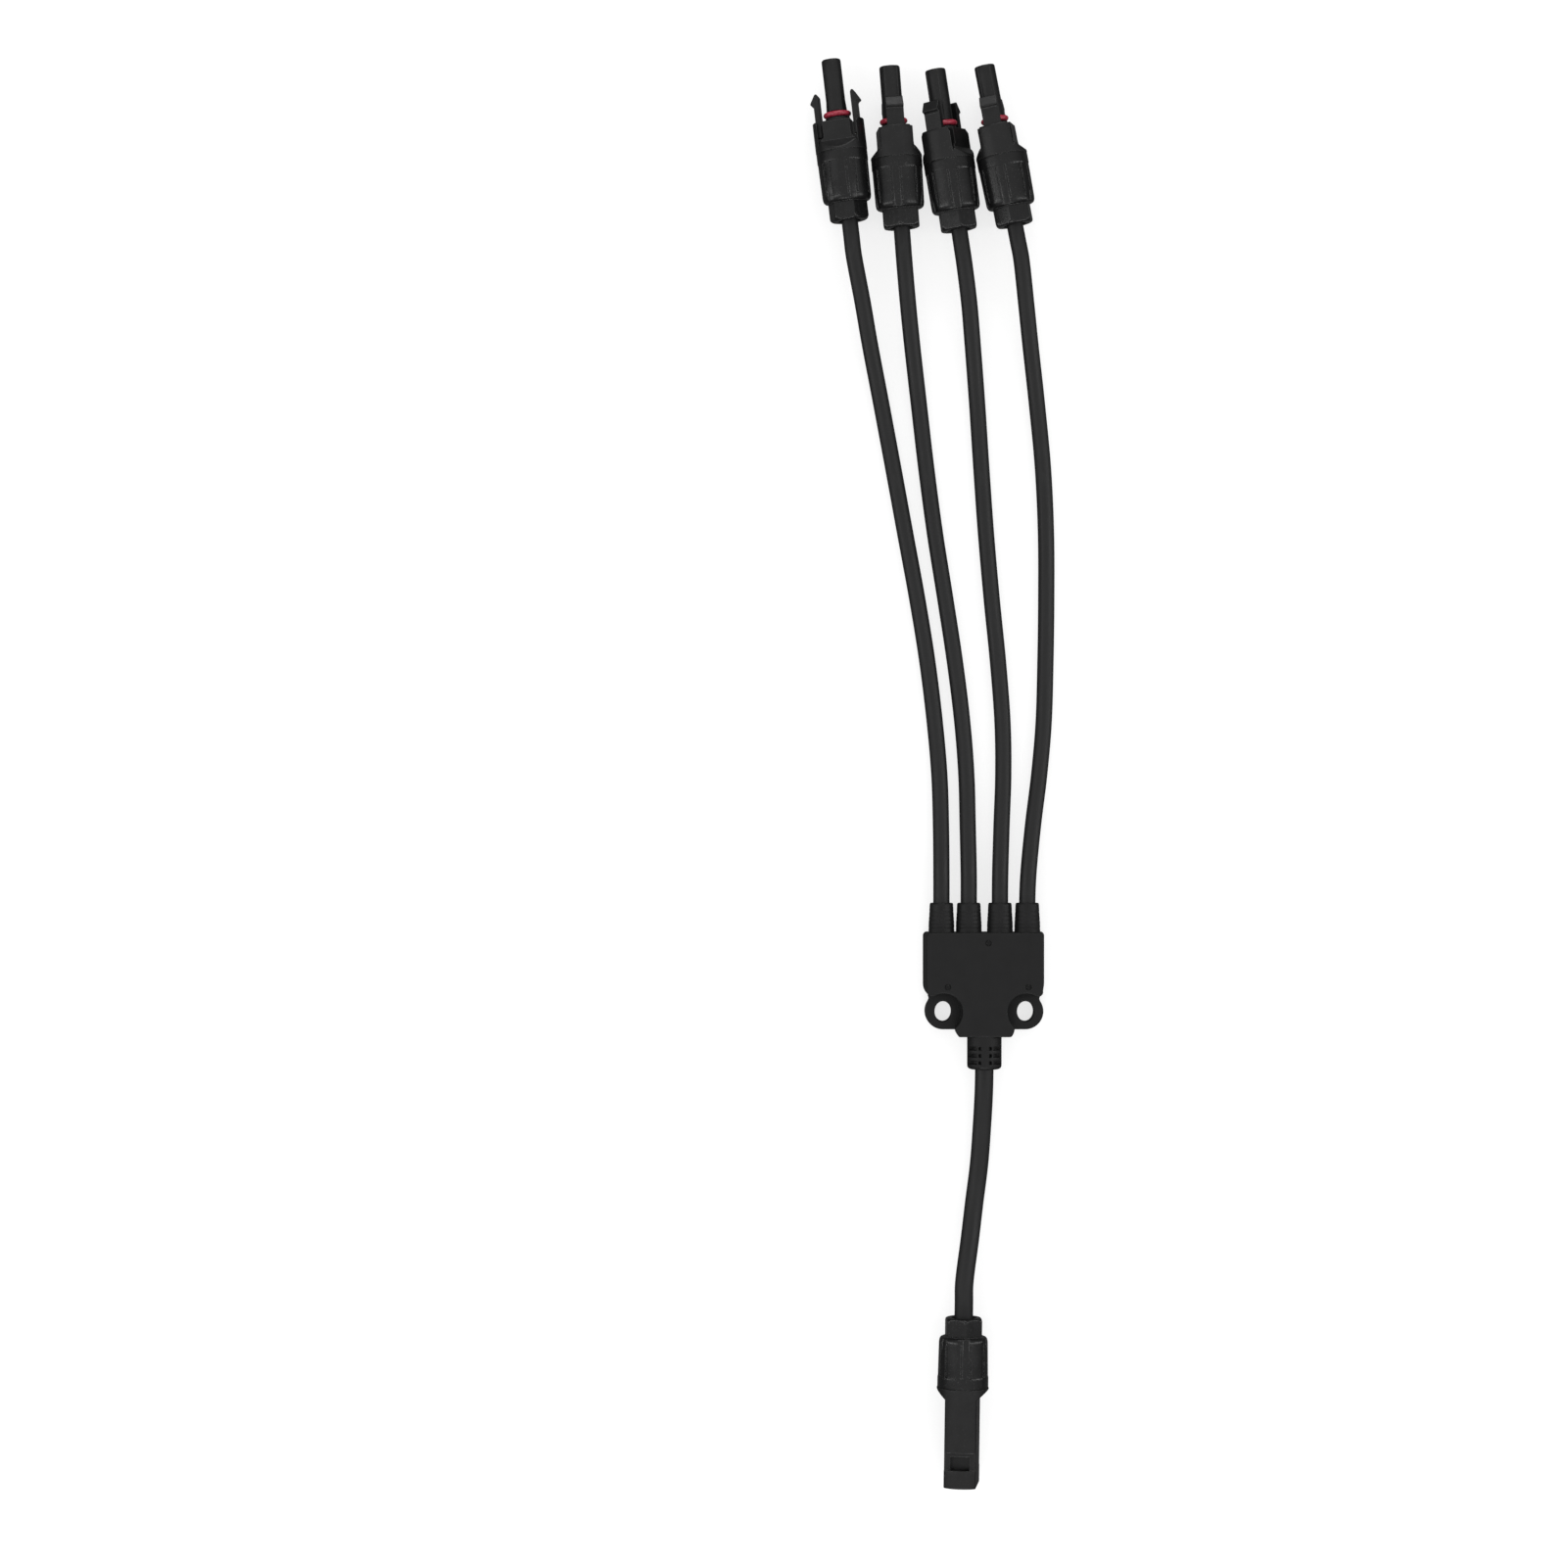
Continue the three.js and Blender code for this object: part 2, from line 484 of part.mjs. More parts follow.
function junctionOvermould() {
  const relief = atCableHeight(turned([
    [0, RELIEF.end], [RELIEF.endRadius, RELIEF.end], [RELIEF.radius, RELIEF.taperStart],
    [RELIEF.radius, JUNCTION.neckEnd + OVERLAP], [0, JUNCTION.neckEnd + OVERLAP],
  ]));
  const sleeves = SLEEVE.x.map((x) => atCableHeight(turned([
    [0, JUNCTION.top - OVERLAP], [SLEEVE.rootRadius, JUNCTION.top - OVERLAP],
    [SLEEVE.rootRadius, SLEEVE.taperStart], [SLEEVE.endRadius, SLEEVE.end], [0, SLEEVE.end],
  ], 12), x));
  const cuts = SLEEVE.x.map((x) => atCableHeight(rod(SLEEVE.bore, INNER.top - 1, SLEEVE.end + 1, 12), x));
  cuts.push(atCableHeight(rod(RELIEF.bore, RELIEF.end - 1, INNER.bottom + 1, 12)));
  const room = FIT_GAP;
  cuts.push(atCableHeight(block(
    [-INNER.halfWidth - room, INNER.halfWidth + room], [INNER.bottom - room, INNER.top + room],
    [-INNER.height / 2 - room, INNER.height / 2 + room],
  )));
  for (const y of RELIEF.slots) {
    for (const side of [-1, 1]) {
      const across = [side * RELIEF.slotFloor, side * (RELIEF.radius + 1)].sort((p, q) => p - q);
      const along = [y - RELIEF.slot / 2, y + RELIEF.slot / 2];
      cuts.push(atCableHeight(block(across, along, [-RELIEF.radius, RELIEF.radius])));
    }
  }
  for (const [x, y] of PITS.places) {
    const pit = new THREE.CylinderGeometry(PITS.radius, PITS.radius, 2 * PITS.depth, 10);
    pit.rotateX(RIGHT_ANGLE);
    pit.translate(x, y, JUNCTION.thickness);
    cuts.push(solid(pit));
  }
  return cut(join([junctionBody(), earPlate(), relief, ...sleeves]), cuts);
}

function innerMould() {
  const room = FIT_GAP;
  const mould = block(
    [-INNER.halfWidth, INNER.halfWidth], [INNER.bottom, INNER.top], [-INNER.height / 2, INNER.height / 2],
  );
  const pocket = block(
    [-SPLICE.halfWidth - room, SPLICE.halfWidth + room], [SPLICE.bottom - room, SPLICE.top + room],
    [-SPLICE.height / 2 - room, SPLICE.height / 2 + room],
  );
  const clearance = INNER.cableClearance;
  const branches = SLEEVE.x.map((x) => (
    rod(BRANCH_CABLE.radius + clearance, SPLICE.top, INNER.top + 1, 12).translate(x, 0, 0)
  ));
  const trunk = rod(TRUNK_CABLE.radius + clearance, INNER.bottom - 1, SPLICE.bottom, 12);
  return atCableHeight(cut(mould, [pocket, ...branches, trunk]));
}

function spliceBar() {
  const bar = block(
    [-SPLICE.halfWidth, SPLICE.halfWidth],
    [SPLICE.bottom, SPLICE.top],
    [-SPLICE.height / 2, SPLICE.height / 2],
  );
  const branches = SLEEVE.x.map((x) => (
    rod(SPLICE.branchBore, SPLICE.top - SPLICE.branchDepth, SPLICE.top + 1, 8).translate(x, 0, 0)
  ));
  const trunk = rod(SPLICE.trunkBore, SPLICE.bottom - 1, SPLICE.bottom + SPLICE.trunkDepth, 8);
  return atCableHeight(cut(bar, [...branches, trunk]));
}

// ---- Cables -------------------------------------------------------------------------------------------

// A connector's frame in the row: +Y along its axis, turned by its lean and rolled about its axis.
function connectorGroup(place, axisHeight) {
  const group = new THREE.Group();
  const radians = THREE.MathUtils.degToRad;
  group.position.set(place.x, place.y, axisHeight);
  group.rotation.set(0, radians(place.roll), radians(place.lean), 'ZYX');
  group.updateMatrixWorld(true);
  return group;
}

const onAxis = (group, station) => group.localToWorld(new THREE.Vector3(0, station, 0));

// A straight length of bare conductor, which starts inside the jacket.
function conductorEnd(radius, from, towards, length) {
  const direction = towards.clone().sub(from).normalize();
  const start = from.clone().addScaledVector(direction, -STRIP_OVERLAP);
  const end = from.clone().addScaledVector(direction, length - STRIP_OVERLAP);
  const turn = new THREE.Quaternion().setFromUnitVectors(new THREE.Vector3(0, 1, 0), direction);
  const middle = start.clone().add(end).multiplyScalar(0.5);
  const matrix = new THREE.Matrix4().compose(middle, turn, new THREE.Vector3(1, 1, 1));
  return solid(new THREE.CylinderGeometry(radius, radius, start.distanceTo(end), 8), matrix);
}

function cableAlong(points, cable) {
  const section = new THREE.Shape();
  for (let i = 0; i < CABLE_SIDES; i += 1) {
    const angle = i * 2 * Math.PI / CABLE_SIDES;
    const corner = [cable.radius * Math.cos(angle), cable.radius * Math.sin(angle)];
    if (i === 0) section.moveTo(...corner);
    else section.lineTo(...corner);
  }
  section.closePath();
  const extrudePath = new THREE.CatmullRomCurve3(points, false, 'centripetal');
  const jacket = solid(new THREE.ExtrudeGeometry(section, { steps: cable.steps, extrudePath }));
  const beyond = (end, inner) => end.clone().multiplyScalar(2).sub(inner);
  const last = points.length - 1;
  return join([
    jacket,
    conductorEnd(cable.conductor, points[0], beyond(points[0], points[1]), cable.spliceStrip),
    conductorEnd(cable.conductor, points[last], beyond(points[last], points[last - 1]), CONTACT_STRIP),
  ]);
}

function cablePoints(start, route, group) {
  const free = route.map(([x, y, z]) => new THREE.Vector3(x, y, z));
  const straight = [...STRAIGHT_RUN, JACKET_END].map((station) => onAxis(group, station));
  return [...start.map(([x, y]) => new THREE.Vector3(x, y, JUNCTION.axisHeight)), ...free, ...straight];
}

// ---- Assembly -----------------------------------------------------------------------------------------

const harness = new THREE.Group();

function add(parent, name, shape, look) {
  const mesh = new THREE.Mesh(geometryOf(shape), look);
  mesh.name = name;
  parent.add(mesh);
  return mesh;
}

// The gland that every connector has: cap nut, clamping cage and cable seal.
function addGland(group, name, cable, nutTurn) {
  const nut = add(group, `${name}_cap_nut`, capNut(cable), NUT_PLASTIC);
  nut.rotation.y = THREE.MathUtils.degToRad(nutTurn);
  add(group, `${name}_clamp_cage`, clampCage(cable), CAGE_PLASTIC);
  add(group, `${name}_cable_seal`, cableSeal(cable), SEAL_RUBBER);
}

SOCKETS.forEach((place, i) => {
  const name = `socket_${i + 1}`;
  const group = connectorGroup(place, SOCKET_AXIS_HEIGHT);
  add(group, `${name}_housing`, socketHousing(), BLACK_PLASTIC);
  add(group, `${name}_latch_a`, latchFinger(1), BLACK_PLASTIC);
  add(group, `${name}_latch_b`, latchFinger(-1), BLACK_PLASTIC);
  add(group, `${name}_o_ring`, sealRing(), RED_RUBBER);
  add(group, `${name}_contact`, socketContact(), TINNED_COPPER);
  addGland(group, name, BRANCH_CABLE, place.nutTurn);
  harness.add(group);
  const x = SLEEVE.x[i];
  const points = cablePoints([[x, BRANCH_JACKET_START], [x, 20], [x, 30]], BRANCH_ROUTES[i], group);
  add(harness, `branch_cable_${i + 1}`, cableAlong(points, BRANCH_CABLE), CABLE_JACKET);
});

const plugGroup = connectorGroup(PLUG_PLACE, PLUG_AXIS_HEIGHT);
add(plugGroup, 'plug_housing', plugHousing(), BLACK_PLASTIC);
add(plugGroup, 'plug_contact', pinContact(), TINNED_COPPER);
addGland(plugGroup, 'plug', TRUNK_CABLE, PLUG_PLACE.nutTurn);
harness.add(plugGroup);
const trunkPoints = cablePoints([[0, TRUNK_JACKET_START], [0, -14], [0, -30]], TRUNK_ROUTE, plugGroup);
add(harness, 'trunk_cable', cableAlong(trunkPoints, TRUNK_CABLE), CABLE_JACKET);

add(harness, 'junction_overmould', junctionOvermould(), JUNCTION_PLASTIC);
add(harness, 'junction_inner_mould', innerMould(), INNER_PLASTIC);
add(harness, 'junction_splice_bar', spliceBar(), COPPER);

export default harness;
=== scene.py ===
"""Looks of the four-to-one solar cable harness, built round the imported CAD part.

Shapes are worked out in millimetres in each connector's own frame (axis +Y, latches towards +X and -X)
and put in place in metres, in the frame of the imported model.
"""

import math

import bmesh
import bpy
import numpy as np
from mathutils import Matrix, Vector


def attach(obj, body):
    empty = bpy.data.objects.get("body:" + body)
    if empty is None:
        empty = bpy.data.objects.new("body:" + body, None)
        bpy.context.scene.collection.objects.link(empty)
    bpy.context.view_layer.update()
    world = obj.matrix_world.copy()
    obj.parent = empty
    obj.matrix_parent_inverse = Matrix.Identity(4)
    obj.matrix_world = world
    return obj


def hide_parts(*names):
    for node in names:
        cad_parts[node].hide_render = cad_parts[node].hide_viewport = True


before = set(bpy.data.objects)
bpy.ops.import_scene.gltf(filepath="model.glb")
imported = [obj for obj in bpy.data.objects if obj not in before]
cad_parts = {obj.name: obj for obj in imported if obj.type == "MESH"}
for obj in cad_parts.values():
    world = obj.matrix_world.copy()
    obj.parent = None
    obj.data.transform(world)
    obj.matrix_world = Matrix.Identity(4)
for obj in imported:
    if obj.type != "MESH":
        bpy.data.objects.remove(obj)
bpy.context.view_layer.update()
MM = 0.001
FULL_TURN = 2 * math.pi
SHARP_ANGLE = math.radians(38)

# ---- Driving dimensions, in millimetres, as in the CAD part -------------------------------------------

BRANCH_RADIUS = 3.0
TRUNK_RADIUS = 3.4
THREAD_PITCH = 1.5

# Stations along a connector's axis, from the rear of the cap nut's hexagon.
NUT_LENGTH = 25.3
HEX_LENGTH = 6.8
HEX_FLAT = 6.4  # from the axis to a flat
HEX_CORNER = HEX_FLAT / math.cos(math.pi / 6)
NUT_THREAD = {"root": 7.95, "crest": 7.62, "start": 10.6, "end": 24.8}
TAIL_THREAD = {"root": 6.95, "crest": 7.5, "start": 13.0, "end": 24.6}
TAIL_START = 12.2
BODY_START = 25.36
SLOPE_START = 25.7
SLOPE_END = 29.2
SLOPE_STATIONS = [SLOPE_START, 25.9, *np.arange(26.1, 29.1, 0.2), SLOPE_END, 29.5]
SEAM_EDGE = [(BODY_START + 0.02, 0.1), (BODY_START + 0.1, 0.01)]  # (station, inset) of a body's rear rim
CRIMP_END = 31.5
JACKET_END = 22.3
CONTACT_BORE = 2.65
CABLE_HOLE_GAP = 1.1  # between a cable and the rear hole of its nut

SOCKET = {"radius": 9.4, "half": 6.2, "shoulder": 36.5, "tip": 59.2}
PROBE_RADIUS = 3.75
PROBE_STEP = 0.24
LATCH_POCKET = {
    "inner": 5.0, "outer": 8.3, "start": 30.6, "finger_room": 3.45, "wall": 7.3, "ramp_end": 27.6,
}
LATCH_HALF_WIDTH = 3.15
RING_RADIUS = 4.13
RING_SECTION = 0.96
RING_STATION = 39.0
PLUG = {"radius": 9.5, "half": 5.8, "end": 61.2, "notch": (48.2, 54.5), "notch_face": 7.7}
PLUG_BORE = 4.15
LATCH_CHANNEL = {"inner": 5.5, "outer": 8.25, "half_width": 3.5, "start": 49.6}
KEY_SLOT = {"inner": 4.75, "outer": 6.7, "depth": 2.4, "stations": ((31.2, 38.2), (39.6, 47.2))}

# Rear centre of each hexagon (x, y, z), lean from +Y, roll of the latch side and turn of the nut.
CONNECTORS = {
    "socket_1": ((-49.3, 278.8, 9.4), 6.7, -10, 25),
    "socket_2": ((-30.3, 276.2, 9.4), 4.4, -86, 20),
    "socket_3": ((-9.3, 275.5, 9.4), 8.6, -121, 2),
    "socket_4": ((11.0, 277.3, 9.4), 10.9, -103, 30),
    "plug": ((-7.7, -121.4, 9.65), 179.2, -82, 18),
}

# Junction.
AXIS_HEIGHT = 6.5
SLEEVES = [-15.7, -5.7, 5.7, 15.7]
SLEEVE_END = 29.8
RELIEF_END = -31
RELIEF_RADIUS = 6.3
RELIEF_SLOTS = (-23.2, -25.8, -28.4)
THICKNESS = 13
EAR_X = 15.1
EAR_Y = -10
EAR_THICKNESS = 5.5
EAR_HOLE_HALF_AXES = (3.05, 3.7)
EJECTOR_MARKS = ((1.2, 15.3), (-13.6, -0.7), (15.8, -0.7))
BRANCH_BORE = 3.6
TRUNK_BORE = 4.0
# Opposite corners of the room that the inner mould fills.
INNER_ROOM = ((-20.3, -2.3, AXIS_HEIGHT - 4.8), (20.3, 15.3, AXIS_HEIGHT + 4.8))

# Free stretch of each cable between its sleeve and the straight run behind its connector.
BRANCH_ROUTES = [
    [
        (-15.7, 40, 6.4), (-15.8, 58, 4.9), (-16.3, 76, 3.5), (-17.9, 95, 3.05), (-20.7, 118, 3.05),
        (-24.4, 141, 3.05), (-28.8, 165, 3.05), (-33.2, 189, 3.05), (-37.7, 213, 3.5), (-42.0, 235, 5.9),
        (-44.5, 249, 8.0),
    ],
    [
        (-5.7, 40, 6.4), (-6.0, 58, 4.9), (-6.4, 76, 3.5), (-7.8, 95, 3.05), (-10.6, 118, 3.05),
        (-14.1, 141, 3.05), (-17.9, 165, 3.05), (-21.1, 189, 3.05), (-23.9, 213, 3.5), (-26.5, 235, 5.9),
        (-28.0, 249, 8.0),
    ],
    [
        (5.8, 40, 6.4), (6.4, 58, 4.9), (7.1, 76, 3.5), (6.9, 95, 3.05), (5.2, 118, 3.05),
        (2.9, 141, 3.05), (0.8, 165, 3.05), (-0.9, 189, 3.05), (-2.5, 213, 3.5), (-4.3, 235, 5.9),
        (-5.6, 249, 8.0),
    ],
    [
        (16.1, 40, 6.4), (17.9, 58, 4.9), (20.2, 76, 3.5), (21.9, 95, 3.05), (22.6, 118, 3.05),
        (22.9, 141, 3.05), (22.8, 165, 3.05), (21.7, 189, 3.05), (19.4, 213, 3.5), (16.8, 235, 5.9),
        (15.2, 249, 8.0),
    ],
]
TRUNK_ROUTE = [
    (-0.2, -40, 6.2), (-0.8, -52, 5.0), (-1.8, -66, 4.1), (-3.6, -80, 4.6), (-5.3, -93, 7.0),
]
STRAIGHT_RUN = [-12, -6, 0, 8, 16, JACKET_END]
BRANCH_JACKET_START = 10.4
TRUNK_JACKET_START = -1.6
STRIP = 6
TRUNK_STRIP = 8.6
STRIP_OVERLAP = 1
BRANCH_CONDUCTOR = 1.25
TRUNK_CONDUCTOR = 1.5

# ---- Camera ------------------------------------------------------------------------------------------

camera = bpy.data.objects.new("camera", bpy.data.cameras.new("camera"))
camera.location = (-0.0733, 0.07327, 1.35)
camera.data.sensor_width = 36
camera.data.lens = 84.3
camera.data.clip_start = 0.05
camera.data.clip_end = 20
bpy.context.scene.collection.objects.link(camera)
bpy.context.scene.camera = camera

# ---- Materials ---------------------------------------------------------------------------------------


class Look:
    """A procedural material on one Principled shader, put together node by node."""

    def __init__(self, name, color, roughness, specular=0.5, metallic=0.0):
        self.material = bpy.data.materials.new(name)
        self.material.use_nodes = True
        self.tree = self.material.node_tree
        self.shader = self.tree.nodes["Principled BSDF"]
        self.shader.inputs["Base Color"].default_value = (*color, 1)
        self.shader.inputs["Roughness"].default_value = roughness
        self.shader.inputs["Specular IOR Level"].default_value = specular
        self.shader.inputs["Metallic"].default_value = metallic
        self.height = None

    def node(self, kind, inputs=None, **settings):
        made = self.tree.nodes.new("ShaderNode" + kind)
        for key, value in settings.items():
            setattr(made, key, value)
        for key, value in (inputs or {}).items():
            if isinstance(value, bpy.types.NodeSocket):
                self.tree.links.new(value, made.inputs[key])
            else:
                made.inputs[key].default_value = value
        return made

    def coordinates(self, stretch=(1, 1, 1), attribute=None):
        if attribute:
            source = self.node("Attribute", attribute_name=attribute).outputs["Vector"]
        else:
            source = self.node("TexCoord").outputs["Object"]
        return self.node("Mapping", {"Vector": source, "Scale": stretch}).outputs["Vector"]

    def noise(self, size, stretch=(1, 1, 1), detail=3.0, attribute=None):
        """Noise whose features are about size metres across, divided by stretch along each axis."""
        vector = self.coordinates(stretch, attribute)
        inputs = {"Vector": vector, "Scale": 1 / size, "Detail": detail, "Roughness": 0.55}
        return self.node("TexNoise", inputs).outputs["Fac"]

    def spread(self, value, low, high, start=0.3, end=0.7):
        inputs = {"Value": value, "From Min": start, "From Max": end, "To Min": low, "To Max": high}
        return self.node("MapRange", inputs).outputs["Result"]

    def math(self, operation, a, b):
        return self.node("Math", {0: a, 1: b}, operation=operation).outputs[0]

    def mix(self, factor, a, b):
        made = self.node("Mix", {0: factor}, data_type="RGBA")
        for socket, value in ((6, a), (7, b)):
            if isinstance(value, bpy.types.NodeSocket):
                self.tree.links.new(value, made.inputs[socket])
            else:
                made.inputs[socket].default_value = (*value, 1)
        return made.outputs[2]

    def relief(self, value, height):
        """Adds value times height metres to the surface."""
        part = self.math("MULTIPLY", value, height)
        self.height = part if self.height is None else self.math("ADD", self.height, part)

    def edges(self, radius):
        """Rounds the shading of sharp edges, and gives a mask that is 1 on them."""
        rounded_normal = self.node("Bevel", {"Radius": radius}, samples=6).outputs["Normal"]
        true_normal = self.node("NewGeometry").outputs["Normal"]
        dot = self.node("VectorMath", {0: rounded_normal, 1: true_normal}, operation="DOT_PRODUCT")
        mask = self.spread(dot.outputs["Value"], 1.0, 0.0, start=0.86, end=0.995)
        return rounded_normal, mask

    def finish(self, color=None, roughness=None, normal=None):
        if color is not None:
            self.tree.links.new(color, self.shader.inputs["Base Color"])
        if roughness is not None:
            self.tree.links.new(roughness, self.shader.inputs["Roughness"])
        if self.height is not None:
            bump = self.node("Bump", {"Height": self.height, "Distance": 1.0, "Strength": 1.0})
            if normal is not None:
                self.tree.links.new(normal, bump.inputs["Normal"])
            normal = bump.outputs["Normal"]
        if normal is not None:
            self.tree.links.new(normal, self.shader.inputs["Normal"])
        return self.material


def moulded_plastic(name, color, wear_and_highlight, roughness, grain, grain_size, specular=0.36):
    """Black glass-filled plastic: eroded-mould grain, cloudy gloss, flow marks, and lighter edges that are
    partly rubbed wear and partly painted highlight.
    """
    look = Look(name, color, roughness, specular)
    rounded_normal, edge = look.edges(0.00022)
    fine = look.noise(grain_size, detail=2.0)
    cloud = look.noise(0.006, detail=4.0)
    flow = look.noise(0.0016, stretch=(1, 0.12, 1), detail=3.0)
    speck = look.spread(look.noise(0.0005, detail=1.0), 0.0, 1.0, start=0.66, end=0.72)
    look.relief(fine, grain)
    look.relief(flow, 0.000006)
    tone = look.mix(look.spread(cloud, 0.0, 1.0), color, tuple(c * 1.35 for c in color))
    tone = look.mix(look.math("MULTIPLY", speck, 0.1), tone, wear_and_highlight)
    # Edges, inner and outer alike, are lightened towards the second colour: partly rubbed wear, partly a
    # painted highlight along each edge.
    rubbed_and_highlit_edge = look.math("MULTIPLY", edge, look.spread(look.noise(0.0012), 0.25, 0.9))
    tone = look.mix(rubbed_and_highlit_edge, tone, wear_and_highlight)
    gloss = look.math("ADD", look.spread(cloud, -0.06, 0.06), look.spread(flow, -0.04, 0.04))
    return look.finish(tone, look.math("ADD", gloss, roughness), rounded_normal)


def cable_jacket(name):
    """Matte cross-linked jacket: drawn streaks along the cable, a fine skin and faint scuffs."""
    color = (0.0088, 0.0088, 0.009)
    look = Look(name, color, 0.5, specular=0.34)
    streaks = look.noise(0.0005, stretch=(1, 1, 0.015), detail=4.0, attribute="along_cable")
    skin = look.noise(0.00018, detail=2.0, attribute="along_cable")
    cloud = look.noise(0.009, stretch=(1, 1, 0.4), detail=4.0, attribute="along_cable")
    scuff = look.noise(0.0024, stretch=(1, 1, 0.25), detail=5.0, attribute="along_cable")
    look.relief(streaks, 0.00003)
    look.relief(skin, 0.000012)
    tone = look.mix(look.spread(cloud, 0.0, 1.0), color, (0.0135, 0.0135, 0.014))
    tone = look.mix(look.spread(scuff, 0.0, 0.5, start=0.6, end=0.8), tone, (0.03, 0.03, 0.03))
    gloss = look.math("ADD", look.spread(streaks, 0.42, 0.56), look.spread(cloud, -0.05, 0.07))
    return look.finish(tone, gloss)


def rubber(name, color, bright, roughness):
    """Moulded rubber with a soft skin and a little bloom."""
    look = Look(name, color, roughness)
    look.shader.inputs["Coat Weight"].default_value = 0.15
    look.shader.inputs["Coat Roughness"].default_value = 0.35
    skin = look.noise(0.0002, detail=2.0)
    bloom = look.noise(0.0015, detail=4.0)
    look.relief(skin, 0.000008)
    tone = look.mix(look.spread(bloom, 0.0, 1.0), color, bright)
    return look.finish(tone, look.spread(bloom, roughness - 0.06, roughness + 0.08))


def metal(name, color, dull, roughness, stretch):
    """Plated or bare copper alloy with drawing lines and cloudy tarnish."""
    look = Look(name, color, roughness, metallic=1.0)
    rounded_normal, edge = look.edges(0.0001)
    lines = look.noise(0.00025, stretch=stretch, detail=4.0)
    tarnish = look.noise(0.0025, detail=5.0)
    look.relief(lines, 0.000008)
    tone = look.mix(look.spread(tarnish, 0.0, 1.0), color, dull)
    tone = look.mix(look.math("MULTIPLY", edge, 0.5), tone, color)
    cloudy = look.spread(tarnish, roughness, roughness + 0.15)
    gloss = look.math("ADD", look.spread(lines, -0.05, 0.05), cloudy)
    return look.finish(tone, gloss, rounded_normal)


# Each plastic's second colour lightens its dust specks and its edges; on the edges it is partly wear and
# partly painted highlight.
BODY_PLASTIC = moulded_plastic(
    "body_plastic", (0.0068, 0.0068, 0.007), (0.13, 0.13, 0.13), 0.36, 0.000011, 0.00014)
NUT_PLASTIC = moulded_plastic(
    "nut_plastic", (0.0058, 0.0058, 0.006), (0.24, 0.24, 0.24), 0.27, 0.000009, 0.00014)
JUNCTION_PLASTIC = moulded_plastic(
    "junction_plastic", (0.0065, 0.0065, 0.0067), (0.035, 0.035, 0.035), 0.52, 0.00002, 0.00022, 0.27)
CAGE_PLASTIC = moulded_plastic(
    "cage_plastic", (0.028, 0.028, 0.029), (0.09, 0.09, 0.09), 0.42, 0.000008, 0.00016)
INNER_PLASTIC = moulded_plastic(
    "inner_plastic", (0.055, 0.054, 0.052), (0.12, 0.12, 0.12), 0.6, 0.00002, 0.0003)
JACKET = cable_jacket("cable_jacket")
RED_RUBBER = rubber("red_rubber", (0.34, 0.02, 0.042), (0.48, 0.045, 0.08), 0.3)
SEAL_RUBBER = rubber("seal_rubber", (0.009, 0.009, 0.009), (0.016, 0.016, 0.016), 0.62)
TINNED = metal("tinned_copper", (0.74, 0.73, 0.7), (0.5, 0.49, 0.46), 0.24, (1, 0.05, 1))
COPPER = metal("copper", (0.76, 0.4, 0.24), (0.5, 0.24, 0.13), 0.3, (0.05, 1, 1))

# ---- Mesh tools: a shell is (points, faces) in millimetres --------------------------------------------


def smooth_min(a, b, softness):
    return -softness * np.logaddexp(-np.asarray(a) / softness, -np.asarray(b) / softness)


def smooth_step(value, low, high):
    t = np.clip((np.asarray(value, float) - low) / (high - low), 0, 1)
    return t * t * (3 - 2 * t)


def loft(rows, closed=False):
    """Joins rows of equally many points with quads, into a ring if closed or else with two end caps."""
    size, count = len(rows[0]), len(rows)
    faces = []
    for i in range(count if closed else count - 1):
        here, there = i * size, (i + 1) % count * size
        for j in range(size):
            k = (j + 1) % size
            faces.append((here + j, here + k, there + k, there + j))
    if not closed:
        faces.append(tuple(range(size)))
        faces.append(tuple(range((count - 1) * size, count * size)))
    return np.vstack(rows), faces


def ring(theta, radius, station):
    """Points round +Y. An angle of 0 is +Z and a quarter turn is +X."""
    radius = np.broadcast_to(radius, theta.shape)
    return np.stack([radius * np.sin(theta), np.full_like(theta, station), radius * np.cos(theta)], 1)


def angles(count):
    return np.arange(count) * FULL_TURN / count


def rounded(profile, fillet, steps=3, closed=False):
    """The profile with each corner turned into an arc of about fillet, or of its own third number."""
    points = [np.array(p[:2], float) for p in profile]
    sizes = [p[2] if len(p) > 2 else fillet for p in profile]
    count = len(points)
    made = []
    for i, (corner, size) in enumerate(zip(points, sizes)):
        if not closed and i in (0, count - 1):
            made.append(corner)
            continue
        to_last, to_next = points[i - 1] - corner, points[(i + 1) % count] - corner
        long_last, long_next = np.linalg.norm(to_last), np.linalg.norm(to_next)
        reach = min(size, 0.45 * long_last, 0.45 * long_next)
        start, end = corner + to_last / long_last * reach, corner + to_next / long_next * reach
        for t in np.linspace(0, 1, steps + 1):
            made.append((1 - t) ** 2 * start + 2 * t * (1 - t) * corner + t * t * end)
    return made


def turned(profile, count=64, fillet=0.25, closed=False):
    """A solid of revolution from (radius, station) points, with its corners rounded."""
    theta = angles(count)
    return loft([ring(theta, r, s) for r, s in rounded(profile, fillet, closed=closed)], closed)


def box(low, high):
    corners = np.array([[x, y, z] for x in (low[0], high[0]) for y in (low[1], high[1])
                        for z in (low[2], high[2])], float)
    return corners, [(0, 1, 3, 2), (4, 6, 7, 5), (0, 4, 5, 1), (2, 3, 7, 6), (0, 2, 6, 4), (1, 5, 7, 3)]


def prism(outline, low, high):
    """An outline in x and y, raised from z low to z high."""
    size = len(outline)
    points = [(x, y, z) for z in (low, high) for x, y in outline]
    faces = [tuple(range(size)), tuple(range(size, 2 * size))]
    faces += [(i, (i + 1) % size, size + (i + 1) % size, size + i) for i in range(size)]
    return np.array(points, float), faces


def moved(shell, offset):
    return shell[0] + np.asarray(offset, float), shell[1]


